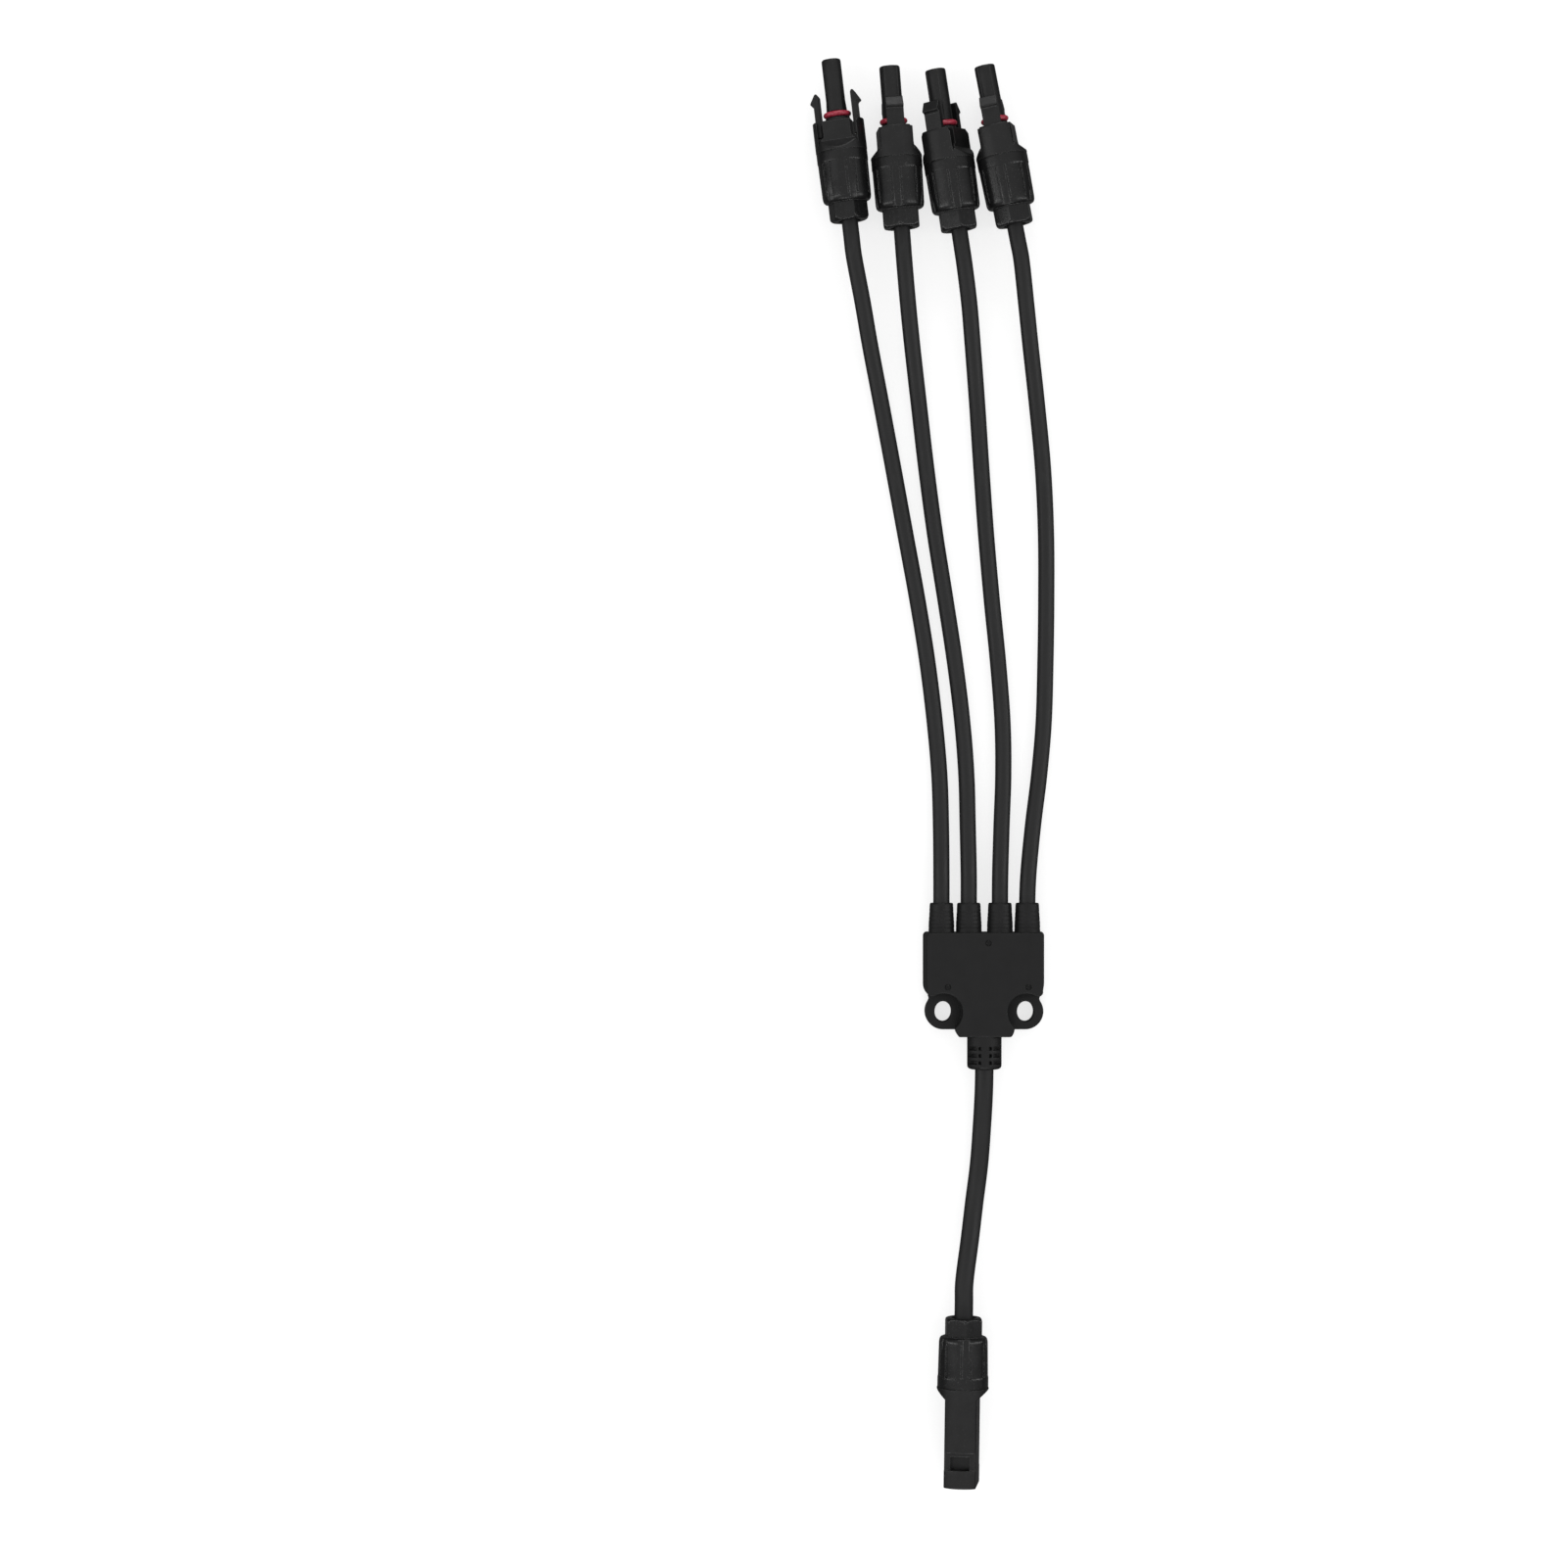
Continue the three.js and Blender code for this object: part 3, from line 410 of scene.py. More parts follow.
def mesh_of(name, shells):
    """A mesh in millimetres with every shell's faces turned outwards."""
    points, faces, start = [], [], 0
    for shell_points, shell_faces in shells:
        points.append(shell_points)
        faces += [tuple(v + start for v in face) for face in shell_faces]
        start += len(shell_points)
    mesh = bpy.data.meshes.new(name)
    mesh.from_pydata(np.vstack(points).tolist(), [], faces)
    turn_outwards(mesh)
    return mesh


def turn_outwards(mesh):
    shape = bmesh.new()
    shape.from_mesh(mesh)
    bmesh.ops.recalc_face_normals(shape, faces=shape.faces)
    shape.to_mesh(mesh)
    shape.free()


def changed(mesh, add_modifier):
    """The mesh after the modifier that add_modifier puts on a passing object."""
    holder = bpy.data.objects.new("passing", mesh)
    bpy.context.scene.collection.objects.link(holder)
    add_modifier(holder)
    bpy.context.view_layer.update()
    made = bpy.data.meshes.new_from_object(holder.evaluated_get(bpy.context.evaluated_depsgraph_get()))
    bpy.data.objects.remove(holder)
    return made


def combined(mesh, others, operation):
    """The mesh after a boolean operation with each of the other meshes in turn."""
    for other in others:
        tool = bpy.data.objects.new("tool", other)
        bpy.context.scene.collection.objects.link(tool)

        def combine(holder, tool=tool):
            modifier = holder.modifiers.new("combine", "BOOLEAN")
            modifier.operation, modifier.solver, modifier.object = operation, "EXACT", tool

        mesh = changed(mesh, combine)
        bpy.data.objects.remove(tool)
    return mesh


def carved(mesh, shells):
    """The mesh without what the shells hold, which are cut out one after another."""
    return combined(mesh, [mesh_of("tool", [shell]) for shell in shells], "DIFFERENCE")


def softened(mesh, width, segments=3, angle=30):
    """The mesh with a rounded bevel on its sharp edges."""

    def bevel(holder):
        modifier = holder.modifiers.new("bevel", "BEVEL")
        modifier.width, modifier.segments = width, segments
        modifier.limit_method, modifier.angle_limit = "ANGLE", math.radians(angle)
        modifier.use_clamp_overlap = False
        modifier.miter_outer = "MITER_ARC"

    return changed(mesh, bevel)


def weigh_normals(holder):
    """Keeps the shading of large flat faces flat up to the roundings round them."""
    modifier = holder.modifiers.new("normals", "WEIGHTED_NORMAL")
    modifier.weight, modifier.keep_sharp = 80, True


def piece(name, mesh, place, body, look, node=None):
    """Puts a mesh in millimetres into the scene, in metres, riding on a CAD body."""
    if not isinstance(mesh, bpy.types.Mesh):
        mesh = mesh_of(name, mesh)
    mesh.transform(place @ Matrix.Scale(MM, 4))
    mesh.shade_smooth()
    mesh.set_sharp_from_angle(angle=SHARP_ANGLE)
    mesh = changed(mesh, weigh_normals)
    mesh.name = name
    mesh.materials.clear()
    mesh.materials.append(look)
    made = bpy.data.objects.new(name, mesh)
    bpy.context.scene.collection.objects.link(made)
    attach(made, body)
    if node:
        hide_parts(node)
    return made


def connector_place(name):
    """A connector's own frame: +Y along its axis, leaning from the row axis and rolled about its own."""
    position, lean, roll, _ = CONNECTORS[name]
    turn = Matrix.Rotation(math.radians(lean), 4, "Z") @ Matrix.Rotation(math.radians(roll), 4, "Y")
    return Matrix.Translation(Vector(position) * MM) @ turn


# ---- Cables ------------------------------------------------------------------------------------------


def centripetal(points, steps):
    """A centripetal Catmull-Rom curve through the points, as in the CAD part."""
    points = [np.array(p, float) for p in points]
    points = [2 * points[0] - points[1], *points, 2 * points[-1] - points[-2]]
    made = []
    for p0, p1, p2, p3 in zip(points, points[1:], points[2:], points[3:]):
        d0, d1, d2 = (math.sqrt(np.linalg.norm(b - a)) for a, b in ((p0, p1), (p1, p2), (p2, p3)))
        start = ((p1 - p0) / d0 - (p2 - p0) / (d0 + d1) + (p2 - p1) / d1) * d1
        end = ((p2 - p1) / d1 - (p3 - p1) / (d1 + d2) + (p3 - p2) / d2) * d1
        for t in np.arange(steps) / steps:
            made.append(
                (2 * t**3 - 3 * t**2 + 1) * p1 + (t**3 - 2 * t**2 + t) * start
                + (3 * t**2 - 2 * t**3) * p2 + (t**3 - t**2) * end)
    made.append(points[-2])
    return np.array(made)


def frames_along(path):
    """At each point of the path, two directions across it that don't twist along the way."""
    tangents = np.gradient(path, axis=0)
    tangents /= np.linalg.norm(tangents, axis=1)[:, None]
    across = np.cross(tangents[0], (0, 0, 1))
    made = []
    for tangent in tangents:
        across = across - tangent * (across @ tangent)
        across /= np.linalg.norm(across)
        made.append((across, np.cross(tangent, across)))
    return made


def tube(path, radius, count=24, end_round=0.3):
    """A tube round the path, and where each of its points lies on the straightened tube."""
    theta = angles(count)
    across = frames_along(path)
    along = np.concatenate([[0], np.cumsum(np.linalg.norm(np.diff(path, axis=0), axis=1))])
    rows, straight = [], []
    sections = [(0, radius - end_round), *((i, radius) for i in range(len(path))),
                (len(path) - 1, radius - end_round)]
    for i, r in sections:
        side, up = across[i]
        rows.append(path[i] + r * (np.cos(theta)[:, None] * side + np.sin(theta)[:, None] * up))
        straight.append(np.stack([r * np.cos(theta), r * np.sin(theta), np.full(count, along[i])], 1))
    return loft(rows), np.vstack(straight)


def cable(name, points, radius):
    """A cable's jacket as a mesh tube, and its middle line in millimetres."""
    path = centripetal(points, 8)
    shell, straight = tube(path, radius)
    mesh = mesh_of(name, [shell])
    attribute = mesh.attributes.new("along_cable", "FLOAT_VECTOR", "POINT")
    attribute.data.foreach_set("vector", (straight * MM).astype(np.float32).ravel())
    return piece(f"{name}_jacket", mesh, Matrix.Identity(4), "root", JACKET, name), path


def conductor(name, start, direction, radius, length, look):
    """Seven bare strands with a slight lay, standing out of a jacket."""
    strand = radius / 3
    turn = Vector((0, 1, 0)).rotation_difference(Vector(direction)).to_matrix().to_4x4()
    place = Matrix.Translation(Vector(start) * MM) @ turn
    stations = np.linspace(-STRIP_OVERLAP, length - STRIP_OVERLAP, 14)
    shells = []
    for i in range(7):
        reach = 0 if i == 6 else 2 * strand
        lay = i * math.pi / 3 + stations / length * math.pi / 2
        path = np.stack([reach * np.sin(lay), stations, reach * np.cos(lay)], 1)
        shells.append(tube(path, strand * 0.98, 10, strand * 0.3)[0])
    return piece(name, shells, place, "root", look)


def on_axis(connector, station):
    return np.array(connector_place(connector) @ Vector((0, station * MM, 0))) / MM


def lay_cable(name, start, strip, route, connector, radius, conductor_radius):
    """A cable from its splice to its contact, with strip millimetres of bare wire at the splice.

    Gives its jacket, its middle line in metres and its two bare ends.
    """
    points = [(x, y, AXIS_HEIGHT) for x, y in start] + route
    points += [tuple(on_axis(connector, s)) for s in STRAIGHT_RUN]
    jacket, path = cable(name, points, radius)
    ends = [
        conductor(f"{name}_conductor_{where}", path[at], path[at] - path[inner], conductor_radius, bare,
                  TINNED)
        for where, at, inner, bare in (("splice_end", 0, 1, strip), ("contact_end", -1, -2, STRIP))
    ]
    return jacket, (path * MM).tolist(), ends


for number, (x, route) in enumerate(zip(SLEEVES, BRANCH_ROUTES), 1):
    lay_cable(
        f"branch_cable_{number}", [(x, BRANCH_JACKET_START), (x, 20), (x, 30)], STRIP, route,
        f"socket_{number}", BRANCH_RADIUS, BRANCH_CONDUCTOR)
lay_cable(
    "trunk_cable", [(0, TRUNK_JACKET_START), (0, -14), (0, -30)], TRUNK_STRIP, TRUNK_ROUTE,
    "plug", TRUNK_RADIUS, TRUNK_CONDUCTOR)

# ---- Connector pieces --------------------------------------------------------------------------------


def thread(theta, station, sizes):
    """Radius of a right-hand thread that fades in and out at its ends."""
    phase = (station / THREAD_PITCH - theta / FULL_TURN) % 1
    flank = smooth_step(1 - np.abs(2 * phase - 1), 0.25, 0.75)
    fade = smooth_step(station, sizes["start"], sizes["start"] + 1) * (
        1 - smooth_step(station, sizes["end"] - 1, sizes["end"]))
    return sizes["root"] + (sizes["crest"] - sizes["root"]) * flank * fade


def thread_stations(sizes):
    return list(np.arange(sizes["start"], sizes["end"], THREAD_PITCH / 8))


# Degrees from the middle of a pair of grooves, over a sixth of the nut.
NUT_SECTOR = [
    -27, -24, -21, -18, -15.5, -13.6, -13.0, -12.5, -10.5, -8.5, -8.0, -7.4, -5.4, -3.6, -2.2, -1,
    0, 1, 2.2, 3.6, 5.4, 7.4, 8.0, 8.5, 10.5, 12.5, 13.0, 13.6, 15.5, 18, 21, 24, 27, 30,
]
# Outside of the grip, as (station, radius).
NUT_GRIP = [
    (6.92, 7.9), (7.05, 8.2), (7.3, 8.48), (7.7, 8.68), (8.2, 8.82), (8.9, 8.9), (9.05, 8.9), (9.2, 8.9),
    (9.3, 8.91), (9.5, 8.92), (11, 8.95), (13, 8.99), (15, 9.03), (17, 9.07), (19, 9.11), (20.6, 9.13),
    (20.95, 9.14), (21.05, 9.14), (21.15, 9.14), (21.3, 9.2), (21.5, 9.28), (21.8, 9.3), (23, 9.3),
    (24.6, 9.3), (25.2, 9.3), (25.27, 9.26), (NUT_LENGTH, 9.18),
]


GROOVE_ANGLE = 10.5  # degrees from the middle of a pair
GROOVE_DEPTH = 0.5
LAND_DEPTH = 0.28  # of the dip between the two grooves of a pair


def cap_nut(hole):
    """Hexagon, grooved grip and ring outside; cable hole, cone and thread inside."""
    phi = np.tile(np.array(NUT_SECTOR, float), 6)
    theta = np.radians(np.repeat(np.arange(6) * 60, len(NUT_SECTOR)) + phi)
    hexagon = smooth_min(HEX_FLAT / np.cos(np.radians(30 - np.abs(phi))), HEX_CORNER - 0.06, 0.05)
    rows = []
    outside = [(0, 0.42), (0.06, 0.26), (0.2, 0.1), *((s, 0) for s in (0.42, 0.8, 1.2, 2, 4, 6.3)),
               (6.72, 0.02), (HEX_LENGTH, 0.06)]
    for station, inset in outside:
        cone = HEX_CORNER - 0.95 + 0.8 * station
        rows.append(ring(theta, smooth_min(hexagon, cone, 0.05) - inset, station))
    in_groove = 1 - smooth_step(np.abs(np.abs(phi) - GROOVE_ANGLE), 2.1, 2.6)
    for station, radius in NUT_GRIP:
        along = smooth_step(station, 9.0, 9.25) * (1 - smooth_step(station, 21.0, 21.2))
        between = (1 - smooth_step(np.abs(phi), 7.4, 8.4)) * smooth_step(station, 7.1, 7.6)
        land = between * (1 - smooth_step(station, 9.3, 13))
        rows.append(ring(theta, radius - GROOVE_DEPTH * in_groove * along - LAND_DEPTH * land, station))
    rows.append(ring(theta, 8.5, NUT_LENGTH))
    rows.append(ring(theta, NUT_THREAD["root"] + 0.2, NUT_LENGTH))
    for station in reversed(thread_stations(NUT_THREAD)):
        rows.append(ring(theta, thread(theta, station, NUT_THREAD), station))
    inside = [(7.8, 10.4), (6.5, 10), (5.35, 4.4), (hole + 0.1, 3.3), (hole, 3.0), (hole, 1.2),
              (hole, 0.35), (hole + 0.08, 0.12), (hole + 0.3, 0)]
    for radius, station in inside:
        rows.append(ring(theta, radius, station))
    rows.append(ring(theta, 0.5 * (hole + 0.3) + 0.5 * (hexagon - 0.9), 0))
    return [loft(rows, closed=True)]


def clamp_cage(cable_radius):
    """Slotted collet with a flange: six fingers that the nut presses on to the cable."""
    theta = angles(96)
    inner = cable_radius + 0.35
    phase = np.abs((np.degrees(theta) + 30) % 60 - 30)
    in_slot = 1 - smooth_step(phase, 5.0, 7.0)
    profile = [(4.6, 5), (4.85, 5.25), (5.1, 6.6), (5.45, 8.2), (5.8, 9.7), (5.85, 10.05), (6.9, 10.5),
               (7.2, 10.75), (7.2, 11.6), (7.05, 11.8), (5.4, 11.8), (5.15, 12.0), (5.15, 14.0),
               (5.0, 14.2), (inner + 0.2, 14.2), (inner, 14.0), (inner, 9.8), (inner, 8), (inner, 6.5),
               (inner, 5.2)]
    rows = []
    for radius, station in profile:
        depth = in_slot * (1 - smooth_step(station, 9.0, 9.6)) * max(radius - inner - 0.25, 0)
        rows.append(ring(theta, radius - depth, station))
    return [loft(rows, closed=True)]


def cable_seal(cable_radius):
    """Rubber sleeve with three lips outside."""
    inner = cable_radius + 0.3
    profile = [(5.0, 14.5), (5.2, 14.9)]
    for station in (16.4, 18.3, 20.2):
        profile += [(5.2, station - 0.6), (4.75, station - 0.1)]
        profile += [(4.75, station + 0.3), (5.2, station + 0.8)]
    profile += [(5.2, 21.9), (5.0, 22.2), (inner, 22.2), (inner, 14.5)]
    return [turned(profile, 64, 0.15, closed=True)]


def flattened(theta, station, radius, half):
    """Outline of a body whose two broad faces are cut flat in front of a short slope."""
    run = min(max((station - SLOPE_START) / (SLOPE_END - SLOPE_START), 0), 1)
    height = radius + 0.3 + (half - radius - 0.3) * run
    return smooth_min(radius, height / np.maximum(np.abs(np.cos(theta)), 1e-6), 0.12)


def tail_rows(theta):
    root = TAIL_THREAD["root"]
    rows = [ring(theta, 6.0, TAIL_START), ring(theta, 6.6, TAIL_START + 0.02)]
    rows.append(ring(theta, root, TAIL_START + 0.4))
    rows += [ring(theta, thread(theta, s, TAIL_THREAD), s) for s in thread_stations(TAIL_THREAD)]
    rows += [ring(theta, root, 24.8), ring(theta, 7.1, BODY_START - 0.08)]
    return rows


def cable_bore(theta):
    """Inside of a housing from the contact's bore back: crimp room, then the seal's seat and the rim."""
    profile = [(CONTACT_BORE, 40), (CONTACT_BORE, 32.3), (3.25, 31.9), (3.3, 31.5), (3.3, 22.7),
               (5.3, 22.55), (5.5, 22.3), (5.5, 12.7), (5.7, TAIL_START)]
    return [ring(theta, r, s) for r, s in profile]


def body_rows(theta, radius, half, stations):
    """Outside of a body: round at the cap nut, with two broad flats further on."""
    rows = [ring(theta, radius - 0.3, BODY_START)]
    slope = [(s, 0) for s in SLOPE_STATIONS]
    for station, inset in SEAM_EDGE + slope + stations:
        rows.append(ring(theta, flattened(theta, station, radius, half) - inset, station))
    return rows


def probe_rows(theta):
    """Core in front of the shoulder, O-ring groove, probe and the mouth of its bore."""
    rows = [ring(theta, r, s) for r, s in rounded(
        [(5.6, 36.5), (4.5, 36.52), (4.5, 37.7), (3.0, 37.7), (3.0, 40.3), (3.7, 40.3)], 0.14)]
    # The two sides that face the latch fingers are a little lower, with a step along each edge.
    turn = np.abs(np.degrees(theta) % 180 - 90)
    lower = PROBE_STEP * (1 - smooth_step(turn, 39.5, 41.0))
    outside = [(40.36, 0.02), *((s, 0) for s in (40.6, 44, 48, 52, 56, 58.3)), (58.75, 0.05),
               (59.0, 0.17), (59.14, 0.34), (SOCKET["tip"], 0.6)]
    for station, inset in outside:
        rows.append(ring(theta, PROBE_RADIUS - lower * smooth_step(station, 40.6, 41.2) - inset, station))
    mouth = [(2.6, SOCKET["tip"]), (2.38, 59.1), (2.3, 58.85), (2.3, 57.3), (2.6, 57.12),
             (CONTACT_BORE, 57.0)]
    for radius, station in mouth:
        rows.append(ring(theta, radius, station))
    return rows


def latch_pocket(side):
    """Tools for one finger's slot and for the openings beside it, whose floor is a ramp."""
    pocket = LATCH_POCKET
    inner, start, front = pocket["inner"], pocket["start"], SOCKET["shoulder"] + 1
    slot = [(inner, start), (pocket["outer"], start), (pocket["outer"], front), (inner, front)]
    wall = pocket["wall"]
    opening = [(inner, start), (wall, pocket["ramp_end"]), (wall, front), (inner, front)]
    room, reach = pocket["finger_room"], SOCKET["radius"] + 1
    spans = [(slot, -room, room), (opening, room - 0.01, reach), (opening, -reach, 0.01 - room)]
    return [prism([(side * x, s) for x, s in outline], low, high) for outline, low, high in spans]


def wall_corners(side):
    """Tools for the slanted front corners of one side wall."""
    low, high = sorted((side * 5.05, side * (SOCKET["radius"] + 1)))
    tools = []
    for face in (1, -1):
        wedge = [(37.15, 4.3), (33.85, 6.7), (37.15, 6.7)]
        points, faces = prism([(s, face * z) for s, z in wedge], low, high)
        tools.append((points[:, [2, 0, 1]], faces))
    return tools


def socket_housing():
    """Threaded tail, body with two latch pockets between its core and its side walls, and the probe."""
    theta = angles(160)
    front = [(s, 0) for s in (31, 32.5, 34, 35.5, 36.1)]
    front += [(36.3, 0.05), (36.43, 0.16), (SOCKET["shoulder"], 0.36)]
    rows = tail_rows(theta) + body_rows(theta, SOCKET["radius"], SOCKET["half"], front)
    rows += probe_rows(theta) + cable_bore(theta)
    tools = [tool for side in (1, -1) for tool in latch_pocket(side) + wall_corners(side)]
    return carved(mesh_of("socket", [loft(rows, closed=True)]), tools)


def latch_finger(side):
    """Springy finger that ends in a pointed barb, in the finger's own place on the connector."""
    outline = [(6.0, 31.0), (7.9, 31.0), (7.9, 42.4), (8.1, 42.8), (9.05, 43.35), (9.02, 43.8), (7.2, 46.9),
               (6.8, 47.1), (6.4, 47.0), (6.0, 46.3)]
    shell = prism([(side * x, s) for x, s in outline], -LATCH_HALF_WIDTH, LATCH_HALF_WIDTH)
    return softened(mesh_of("finger", [shell]), 0.16, angle=25)


def seal_ring():
    theta = angles(96)
    rows = [
        ring(theta, RING_RADIUS + RING_SECTION * math.cos(a), RING_STATION + RING_SECTION * math.sin(a))
        for a in angles(28)
    ]
    return [loft(rows, closed=True)]


def crimp_barrel():
    """Barrel with an inspection rim and two rows of crimp dents."""
    theta = angles(64)
    rows = []
    outer = [(2.6, 22.9), (2.85, 23.05), (2.9, 23.3), (2.9, 24.2), (2.78, 24.6), (2.78, 26.6), (2.9, 27.0),
             (2.9, 27.6), (2.78, 28.0), (2.78, 29.8), (2.9, 30.2), (2.9, 31.2), (2.6, CRIMP_END)]
    for radius, station in outer:
        pressed = smooth_step(station, 24.2, 24.8) * (1 - smooth_step(station, 29.9, 30.4))
        rows.append(ring(theta, radius - 0.18 * pressed * np.cos(2 * theta) ** 8, station))
    return rows


def barrel_bore(theta, radius):
    profile = [(0.4, 29.4), (radius - 0.2, 29.3), (radius, 29.0), (radius, 23.2), (radius + 0.25, 22.9)]
    return [ring(theta, r, s) for r, s in profile]


def socket_contact():
    """Crimp barrel, shaft and a split socket with a spring ring round it."""
    theta = angles(64)
    rows = crimp_barrel()
    outside = [(2.4, 31.7), (2.4, 44.4), (2.15, 44.5), (2.15, 55.2), (2.4, 55.3), (2.4, 56.8), (2.1, 56.8)]
    inside = [(2.02, 56.6), (2.02, 42), (1.7, 41.6), (0.4, 41.5)]
    for radius, station in [*rounded(outside, 0.12), *inside]:
        rows.append(ring(theta, radius, station))
    front = mesh_of("contact", [loft(rows + barrel_bore(theta, 1.7), closed=True)])
    slit = box((-3, 46, -0.22), (3, 58, 0.22))
    return carved(front, [slit, (slit[0][:, [2, 1, 0]], slit[1])])


def pin_contact():
    """Crimp barrel, shaft with a stop collar and a round-nosed 4 mm pin."""
    theta = angles(64)
    rows = crimp_barrel()
    shaft = [(2.35, 31.7), (2.35, 35.4), (2.1, 35.5), (2.1, 36.4), (2.35, 36.5), (2.35, 39.6)]
    pin = [(2.0, 39.8), (2.0, 54.0, 0.8), (1.5, 55.1, 0.6), (0.8, 55.55), (0.2, 55.6)]
    for radius, station in rounded(shaft + pin, 0.1):
        rows.append(ring(theta, radius, station))
    rows.append(ring(theta, 0.03, 55.6))
    return [loft([ring(theta, 0.03, 29.4), *barrel_bore(theta, 1.95), *rows])]


def plug_housing():
    """Threaded tail, slab body with latch windows, keying slots, a flared rim and a hollow front."""
    theta = angles(160)
    radius, half = PLUG["radius"], PLUG["half"]
    start, end = PLUG["notch"]
    upright = np.maximum(np.abs(np.cos(theta)), 1e-6)
    sideways = np.maximum(np.abs(np.sin(theta)), 1e-6)
    rows = tail_rows(theta)
    rows.append(ring(theta, radius - 0.3, BODY_START))
    plain = [*SLOPE_STATIONS, 31, 34, 37, 40, 43, 46, start - 0.3, start - 0.08,
             start, start + 0.08, start + 0.3, 50, 52, end - 0.3, end - 0.06, end, end + 0.06, end + 0.3,
             56, 58, 60, 60.6]
    stations = [*SEAM_EDGE, *((s, 0) for s in plain), (60.95, 0.07), (61.12, 0.2), (PLUG["end"], 0.42)]
    for station, inset in stations:
        outline = flattened(theta, station, radius, half)
        flare = smooth_step(station, end - 0.06, end + 0.3)
        outline = outline + flare * smooth_min(0.12, 0.2 / upright, 0.05)
        in_notch = smooth_step(station, start - 0.05, start + 0.05)
        in_notch *= 1 - smooth_step(station, end - 0.05, end + 0.05)
        notch = smooth_min(outline, PLUG["notch_face"] / sideways, 0.1)
        rows.append(ring(theta, outline + (notch - outline) * in_notch - inset, station))
    inside = [(5.45, PLUG["end"]), (5.3, PLUG["end"]), (5.3, 56.2), (PLUG_BORE, 55.6), (PLUG_BORE, 38.4),
              (CONTACT_BORE, 38.4), (CONTACT_BORE, 32.3), (3.3, 31.8), (3.3, 22.6), (5.5, 22.5),
              (5.5, TAIL_START), (5.9, TAIL_START)]
    rows += [ring(theta, r, s) for r, s in rounded(inside, 0.15)]
    mesh = mesh_of("plug", [loft(rows, closed=True)])
    tools = []
    for side in (1, -1):
        low, high = sorted((side * LATCH_CHANNEL["inner"], side * LATCH_CHANNEL["outer"]))
        reach = LATCH_CHANNEL["half_width"]
        tools.append(box((low, LATCH_CHANNEL["start"], -reach), (high, PLUG["end"] + 1, reach)))
        low, high = sorted((side * KEY_SLOT["inner"], side * KEY_SLOT["outer"]))
        for face in (1, -1):
            bottom, top = sorted((face * (half - KEY_SLOT["depth"]), face * (half + 1)))
            for back, ahead in KEY_SLOT["stations"]:
                tools.append(box((low, back, bottom), (high, ahead, top)))
    return carved(mesh, tools)


SOCKET_HOUSING = socket_housing()
SOCKET_CONTACT = socket_contact()


def build_connector(name, cable_radius):
    place = connector_place(name)
    nut_place = place @ Matrix.Rotation(math.radians(CONNECTORS[name][3]), 4, "Y")
    made = []

    def add(part, mesh, body, look, at=place):
        node = f"{name}_{part}"
        made.append(piece(f"{node}_form", mesh, at, body, look, node))

    nut = cap_nut(cable_radius + CABLE_HOLE_GAP)
    add("cap_nut", nut, f"{name}_nut", NUT_PLASTIC, nut_place)
    add("clamp_cage", clamp_cage(cable_radius), f"{name}_gland", CAGE_PLASTIC)
    add("cable_seal", cable_seal(cable_radius), "root", SEAL_RUBBER)
    if name == "plug":
        add("housing", plug_housing(), "root", BODY_PLASTIC)
        add("contact", pin_contact(), "root", TINNED)
        return made
    add("housing", SOCKET_HOUSING.copy(), "root", BODY_PLASTIC)
    add("contact", SOCKET_CONTACT.copy(), "root", TINNED)
    add("o_ring", seal_ring(), "root", RED_RUBBER)
    add("latch_a", latch_finger(1), f"{name}_finger_a", BODY_PLASTIC)
    add("latch_b", latch_finger(-1), f"{name}_finger_b", BODY_PLASTIC)
    return made


connectors = {
    name: build_connector(name, TRUNK_RADIUS if name == "plug" else BRANCH_RADIUS) for name in CONNECTORS
}

# ---- Junction ----------------------------------------------------------------------------------------


def arc(centre, radius, start, end, count):
    """Points on an arc, by angles in degrees from +X."""
    return [(centre[0] + radius * math.cos(math.radians(a)), centre[1] + radius * math.sin(math.radians(a)))
            for a in np.linspace(start, end, count)]


def mirrored(half):
    """A whole outline from its half on the right, which runs from the top to the bottom."""
    return list(half) + [(-x, y) for x, y in reversed(half)]


def raised_body():
    """The raised middle: square shoulders, a waist, a round cut past each ear and a neck."""
    half = [(21.0, 19.1), (21.6, 18.9), (22.1, 18.4), (22.3, 17.8)]
    half += [(22.3, 12), (22.3, 6), (22.3, 0)]
    half += [(22.2, -1.0), (21.95, -1.9), (21.5, -2.8), (20.95, -3.5), (20.3, -4.0), (19.6, -4.25),
             (18.95, -4.2), (18.35, -3.95)]
    half += arc((EAR_X, EAR_Y), 6.9, 70, 233, 20)
    half += [(10.4, -17.6), (9.6, -19)]
    return prism(mirrored(half), 0, THICKNESS)


def ear_plate():
    """The low plate with an oval screw hole in each ear."""
    half = [(20.4, 1.5), (20.4, -3), (20.5, -4.4), (20.2, -5.4)]
    half += arc((EAR_X, EAR_Y), 6.6, 34, -90, 22)
    half += [(12.4, -16.6)]
    return prism(mirrored(half), 0, EAR_THICKNESS)


def ear_hole(side):
    """Oval hole, longer along the row."""
    across, along = EAR_HOLE_HALF_AXES
    outline = [(side * EAR_X + across * math.cos(a), EAR_Y + along * math.sin(a)) for a in angles(40)]
    return prism(outline, -1, EAR_THICKNESS + 1)


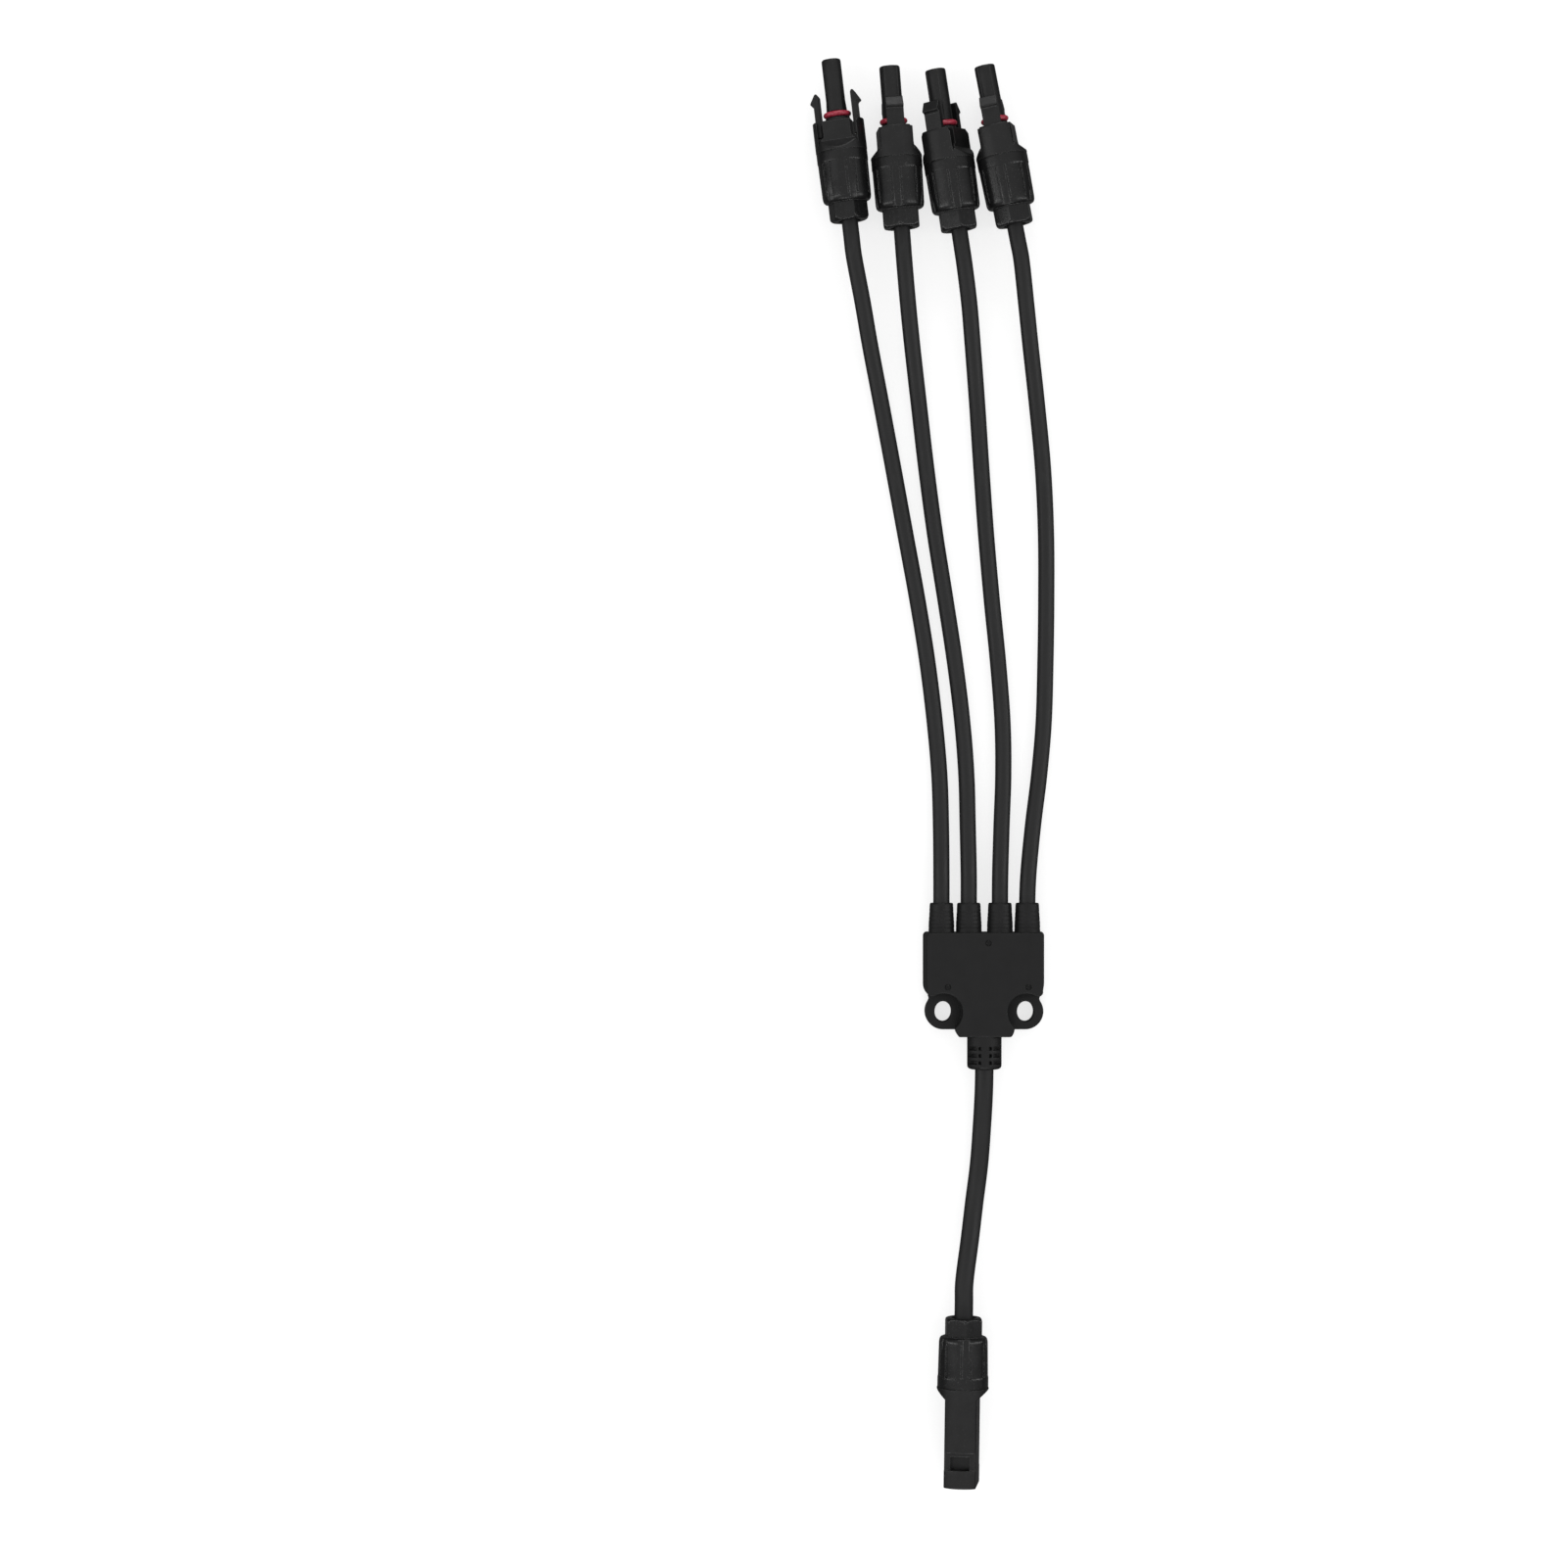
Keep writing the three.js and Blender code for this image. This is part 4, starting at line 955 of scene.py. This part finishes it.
def sleeve():
    """Cable sleeve with fine ring lines and a tapered end, at x = 0."""
    profile = [(4.75, 18.6)]
    for station in (20.6, 22.1, 23.6, 25.1, 26.6):
        taper = 4.7 - 0.45 * max(station - 22, 0) / 7
        profile += [(taper, station - 0.2), (taper - 0.06, station - 0.1), (taper - 0.06, station + 0.1),
                    (taper, station + 0.2)]
    profile += [(4.28, 29.3, 0.3), (4.05, SLEEVE_END, 0.2), (3.35, SLEEVE_END), (3.35, 18.6)]
    return turned(profile, 72, 0.06, closed=True)


def strain_relief():
    """Tapering sleeve of the trunk, with three rows of slots on each side of a smooth rib."""
    theta = angles(180)
    turn = np.degrees(theta)
    from_top = np.minimum(np.abs(turn - 180), 180 - np.abs(turn - 180))
    wide = smooth_step(from_top, 29, 31) * (1 - smooth_step(from_top, 86, 88))
    small = smooth_step(from_top, 12, 14) * (1 - smooth_step(from_top, 21, 23))
    rows = []
    stations = [(-18.2, RELIEF_RADIUS), (-20, RELIEF_RADIUS)]
    for middle in RELIEF_SLOTS:
        stations += [(middle + step, RELIEF_RADIUS) for step in (0.95, 0.7, 0.55, 0, -0.55, -0.7, -0.95)]
    stations += [(-30.0, 6.25), (-30.5, 6.0), (-30.8, 5.6), (RELIEF_END, 5.0)]
    for station, radius in stations:
        depth = max(1 - smooth_step(abs(station - m), 0.56, 0.72) for m in RELIEF_SLOTS)
        rows.append(ring(theta, radius - depth * (1.5 * wide + 1.2 * small), station))
    rows += [ring(theta, r, s) for r, s in ((4.1, RELIEF_END), (3.75, -30.7), (3.75, -18.2))]
    return loft(rows, closed=True)


def tapered_body():
    """The raised body, rounded along its edges, with its sides drawn in towards the top."""
    mesh = softened(mesh_of("body", [raised_body()]), 0.6, 4, 40)
    for vertex in mesh.vertices:
        x, y, z = vertex.co
        outside = smooth_step(abs(x), 18, 22.3) * smooth_step(y, -4.2, -1)
        lean = 1.1 * smooth_step(z, 7.5, THICKNESS) * outside
        vertex.co.x = math.copysign(abs(x) - lean, x)
    tools = [box(*INNER_ROOM)]
    for x in SLEEVES:
        tools.append(moved(turned([(BRANCH_BORE, 14), (BRANCH_BORE, 21)], 32), (x, 0, AXIS_HEIGHT)))
    tools.append(moved(turned([(TRUNK_BORE, -21), (TRUNK_BORE, -1)], 32), (0, 0, AXIS_HEIGHT)))
    for x, y in EJECTOR_MARKS:
        points, faces = turned([(0.15, -0.85), (0.75, -0.7), (1.15, -0.25), (1.3, 0.5)], 32)
        tools.append((points[:, [0, 2, 1]] + np.array([x, y, THICKNESS]), faces))
    return carved(mesh, tools)


def junction_overmould():
    """The raised body fused with the ear plate, the four sleeves and the trunk's strain relief."""
    ears = carved(mesh_of("ears", [ear_plate()]), [ear_hole(1), ear_hole(-1)])
    ears = carved(softened(ears, 0.4, angle=40), [box(*INNER_ROOM)])
    fittings = [moved(sleeve(), (x, 0, AXIS_HEIGHT)) for x in SLEEVES]
    fittings.append(moved(strain_relief(), (0, 0, AXIS_HEIGHT)))
    bosses = [mesh_of("boss", [fitting]) for fitting in fittings]
    return combined(tapered_body(), [ears, *bosses], "UNION")


piece("junction_overmould_form", junction_overmould(), Matrix.Identity(4), "root", JUNCTION_PLASTIC,
      "junction_overmould")
for node, look in (("junction_inner_mould", INNER_PLASTIC), ("junction_splice_bar", COPPER)):
    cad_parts[node].data.materials.clear()
    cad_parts[node].data.materials.append(look)

# ---- Floor and light ---------------------------------------------------------------------------------

floor_mesh = bpy.data.meshes.new("floor")
corners = [(x, y, -0.0003) for x, y in ((-3, -3), (3, -3), (3, 3), (-3, 3))]
floor_mesh.from_pydata(corners, [], [(0, 1, 2, 3)])
floor = bpy.data.objects.new("floor", floor_mesh)
bpy.context.scene.collection.objects.link(floor)
floor.visible_glossy = False
floor.visible_diffuse = False
paper = Look("floor_paper", (0.42, 0.42, 0.42), 0.9, specular=0.1)
paper.shader.inputs["Emission Color"].default_value = (1, 1, 1, 1)
paper.shader.inputs["Emission Strength"].default_value = 0.72
paper.relief(paper.noise(0.002, detail=3.0), 0.00001)
floor_mesh.materials.append(paper.finish())


def studio_dome(below, horizon, zenith):
    """Soft light from all round, brighter from above and dim from under the horizon."""
    world = bpy.data.worlds.new("studio")
    world.use_nodes = True
    tree = world.node_tree
    direction = tree.nodes.new("ShaderNodeTexCoord")
    split = tree.nodes.new("ShaderNodeSeparateXYZ")
    tree.links.new(direction.outputs["Generated"], split.inputs[0])
    ramp = tree.nodes.new("ShaderNodeValToRGB")
    stops = [(0, below), (0.02, horizon), (1, zenith)]
    ramp.color_ramp.elements.new(0.5)
    for stop, (place, strength) in zip(ramp.color_ramp.elements, stops):
        stop.position, stop.color = place, (strength, strength, strength, 1)
    tree.links.new(split.outputs["Z"], ramp.inputs["Fac"])
    # The camera itself sees plain white paper behind the floor.
    camera_ray = tree.nodes.new("ShaderNodeLightPath").outputs["Is Camera Ray"]
    seen = tree.nodes.new("ShaderNodeMix")
    seen.data_type = "RGBA"
    seen.inputs[7].default_value = (1, 1, 1, 1)
    tree.links.new(camera_ray, seen.inputs[0])
    tree.links.new(ramp.outputs["Color"], seen.inputs[6])
    tree.links.new(seen.outputs[2], tree.nodes["Background"].inputs["Color"])
    bpy.context.scene.world = world


studio_dome(0.1, 0.26, 0.72)


def softbox(name, position, target, width, height, power):
    light = bpy.data.lights.new(name, "AREA")
    light.shape = "RECTANGLE"
    light.size, light.size_y, light.energy = width, height, power
    made = bpy.data.objects.new(name, light)
    made.location = position
    made.rotation_mode = "QUATERNION"
    made.rotation_quaternion = (Vector(target) - Vector(position)).to_track_quat("-Z", "Y")
    bpy.context.scene.collection.objects.link(made)


softbox("right", (1.15, 0.15, 0.55), (0, 0.08, 0), 0.1, 1.6, 4.5)
softbox("left", (-1.25, 0.05, 0.6), (0, 0.08, 0), 0.1, 1.6, 4)
softbox("front", (-0.05, -1.2, 0.6), (0, 0, 0), 1.0, 0.25, 6)
softbox("back", (-0.05, 1.4, 0.6), (0, 0.1, 0), 1.0, 0.25, 5)

bpy.context.scene.view_settings.view_transform = "Standard"
bpy.context.scene.view_settings.look = "None"
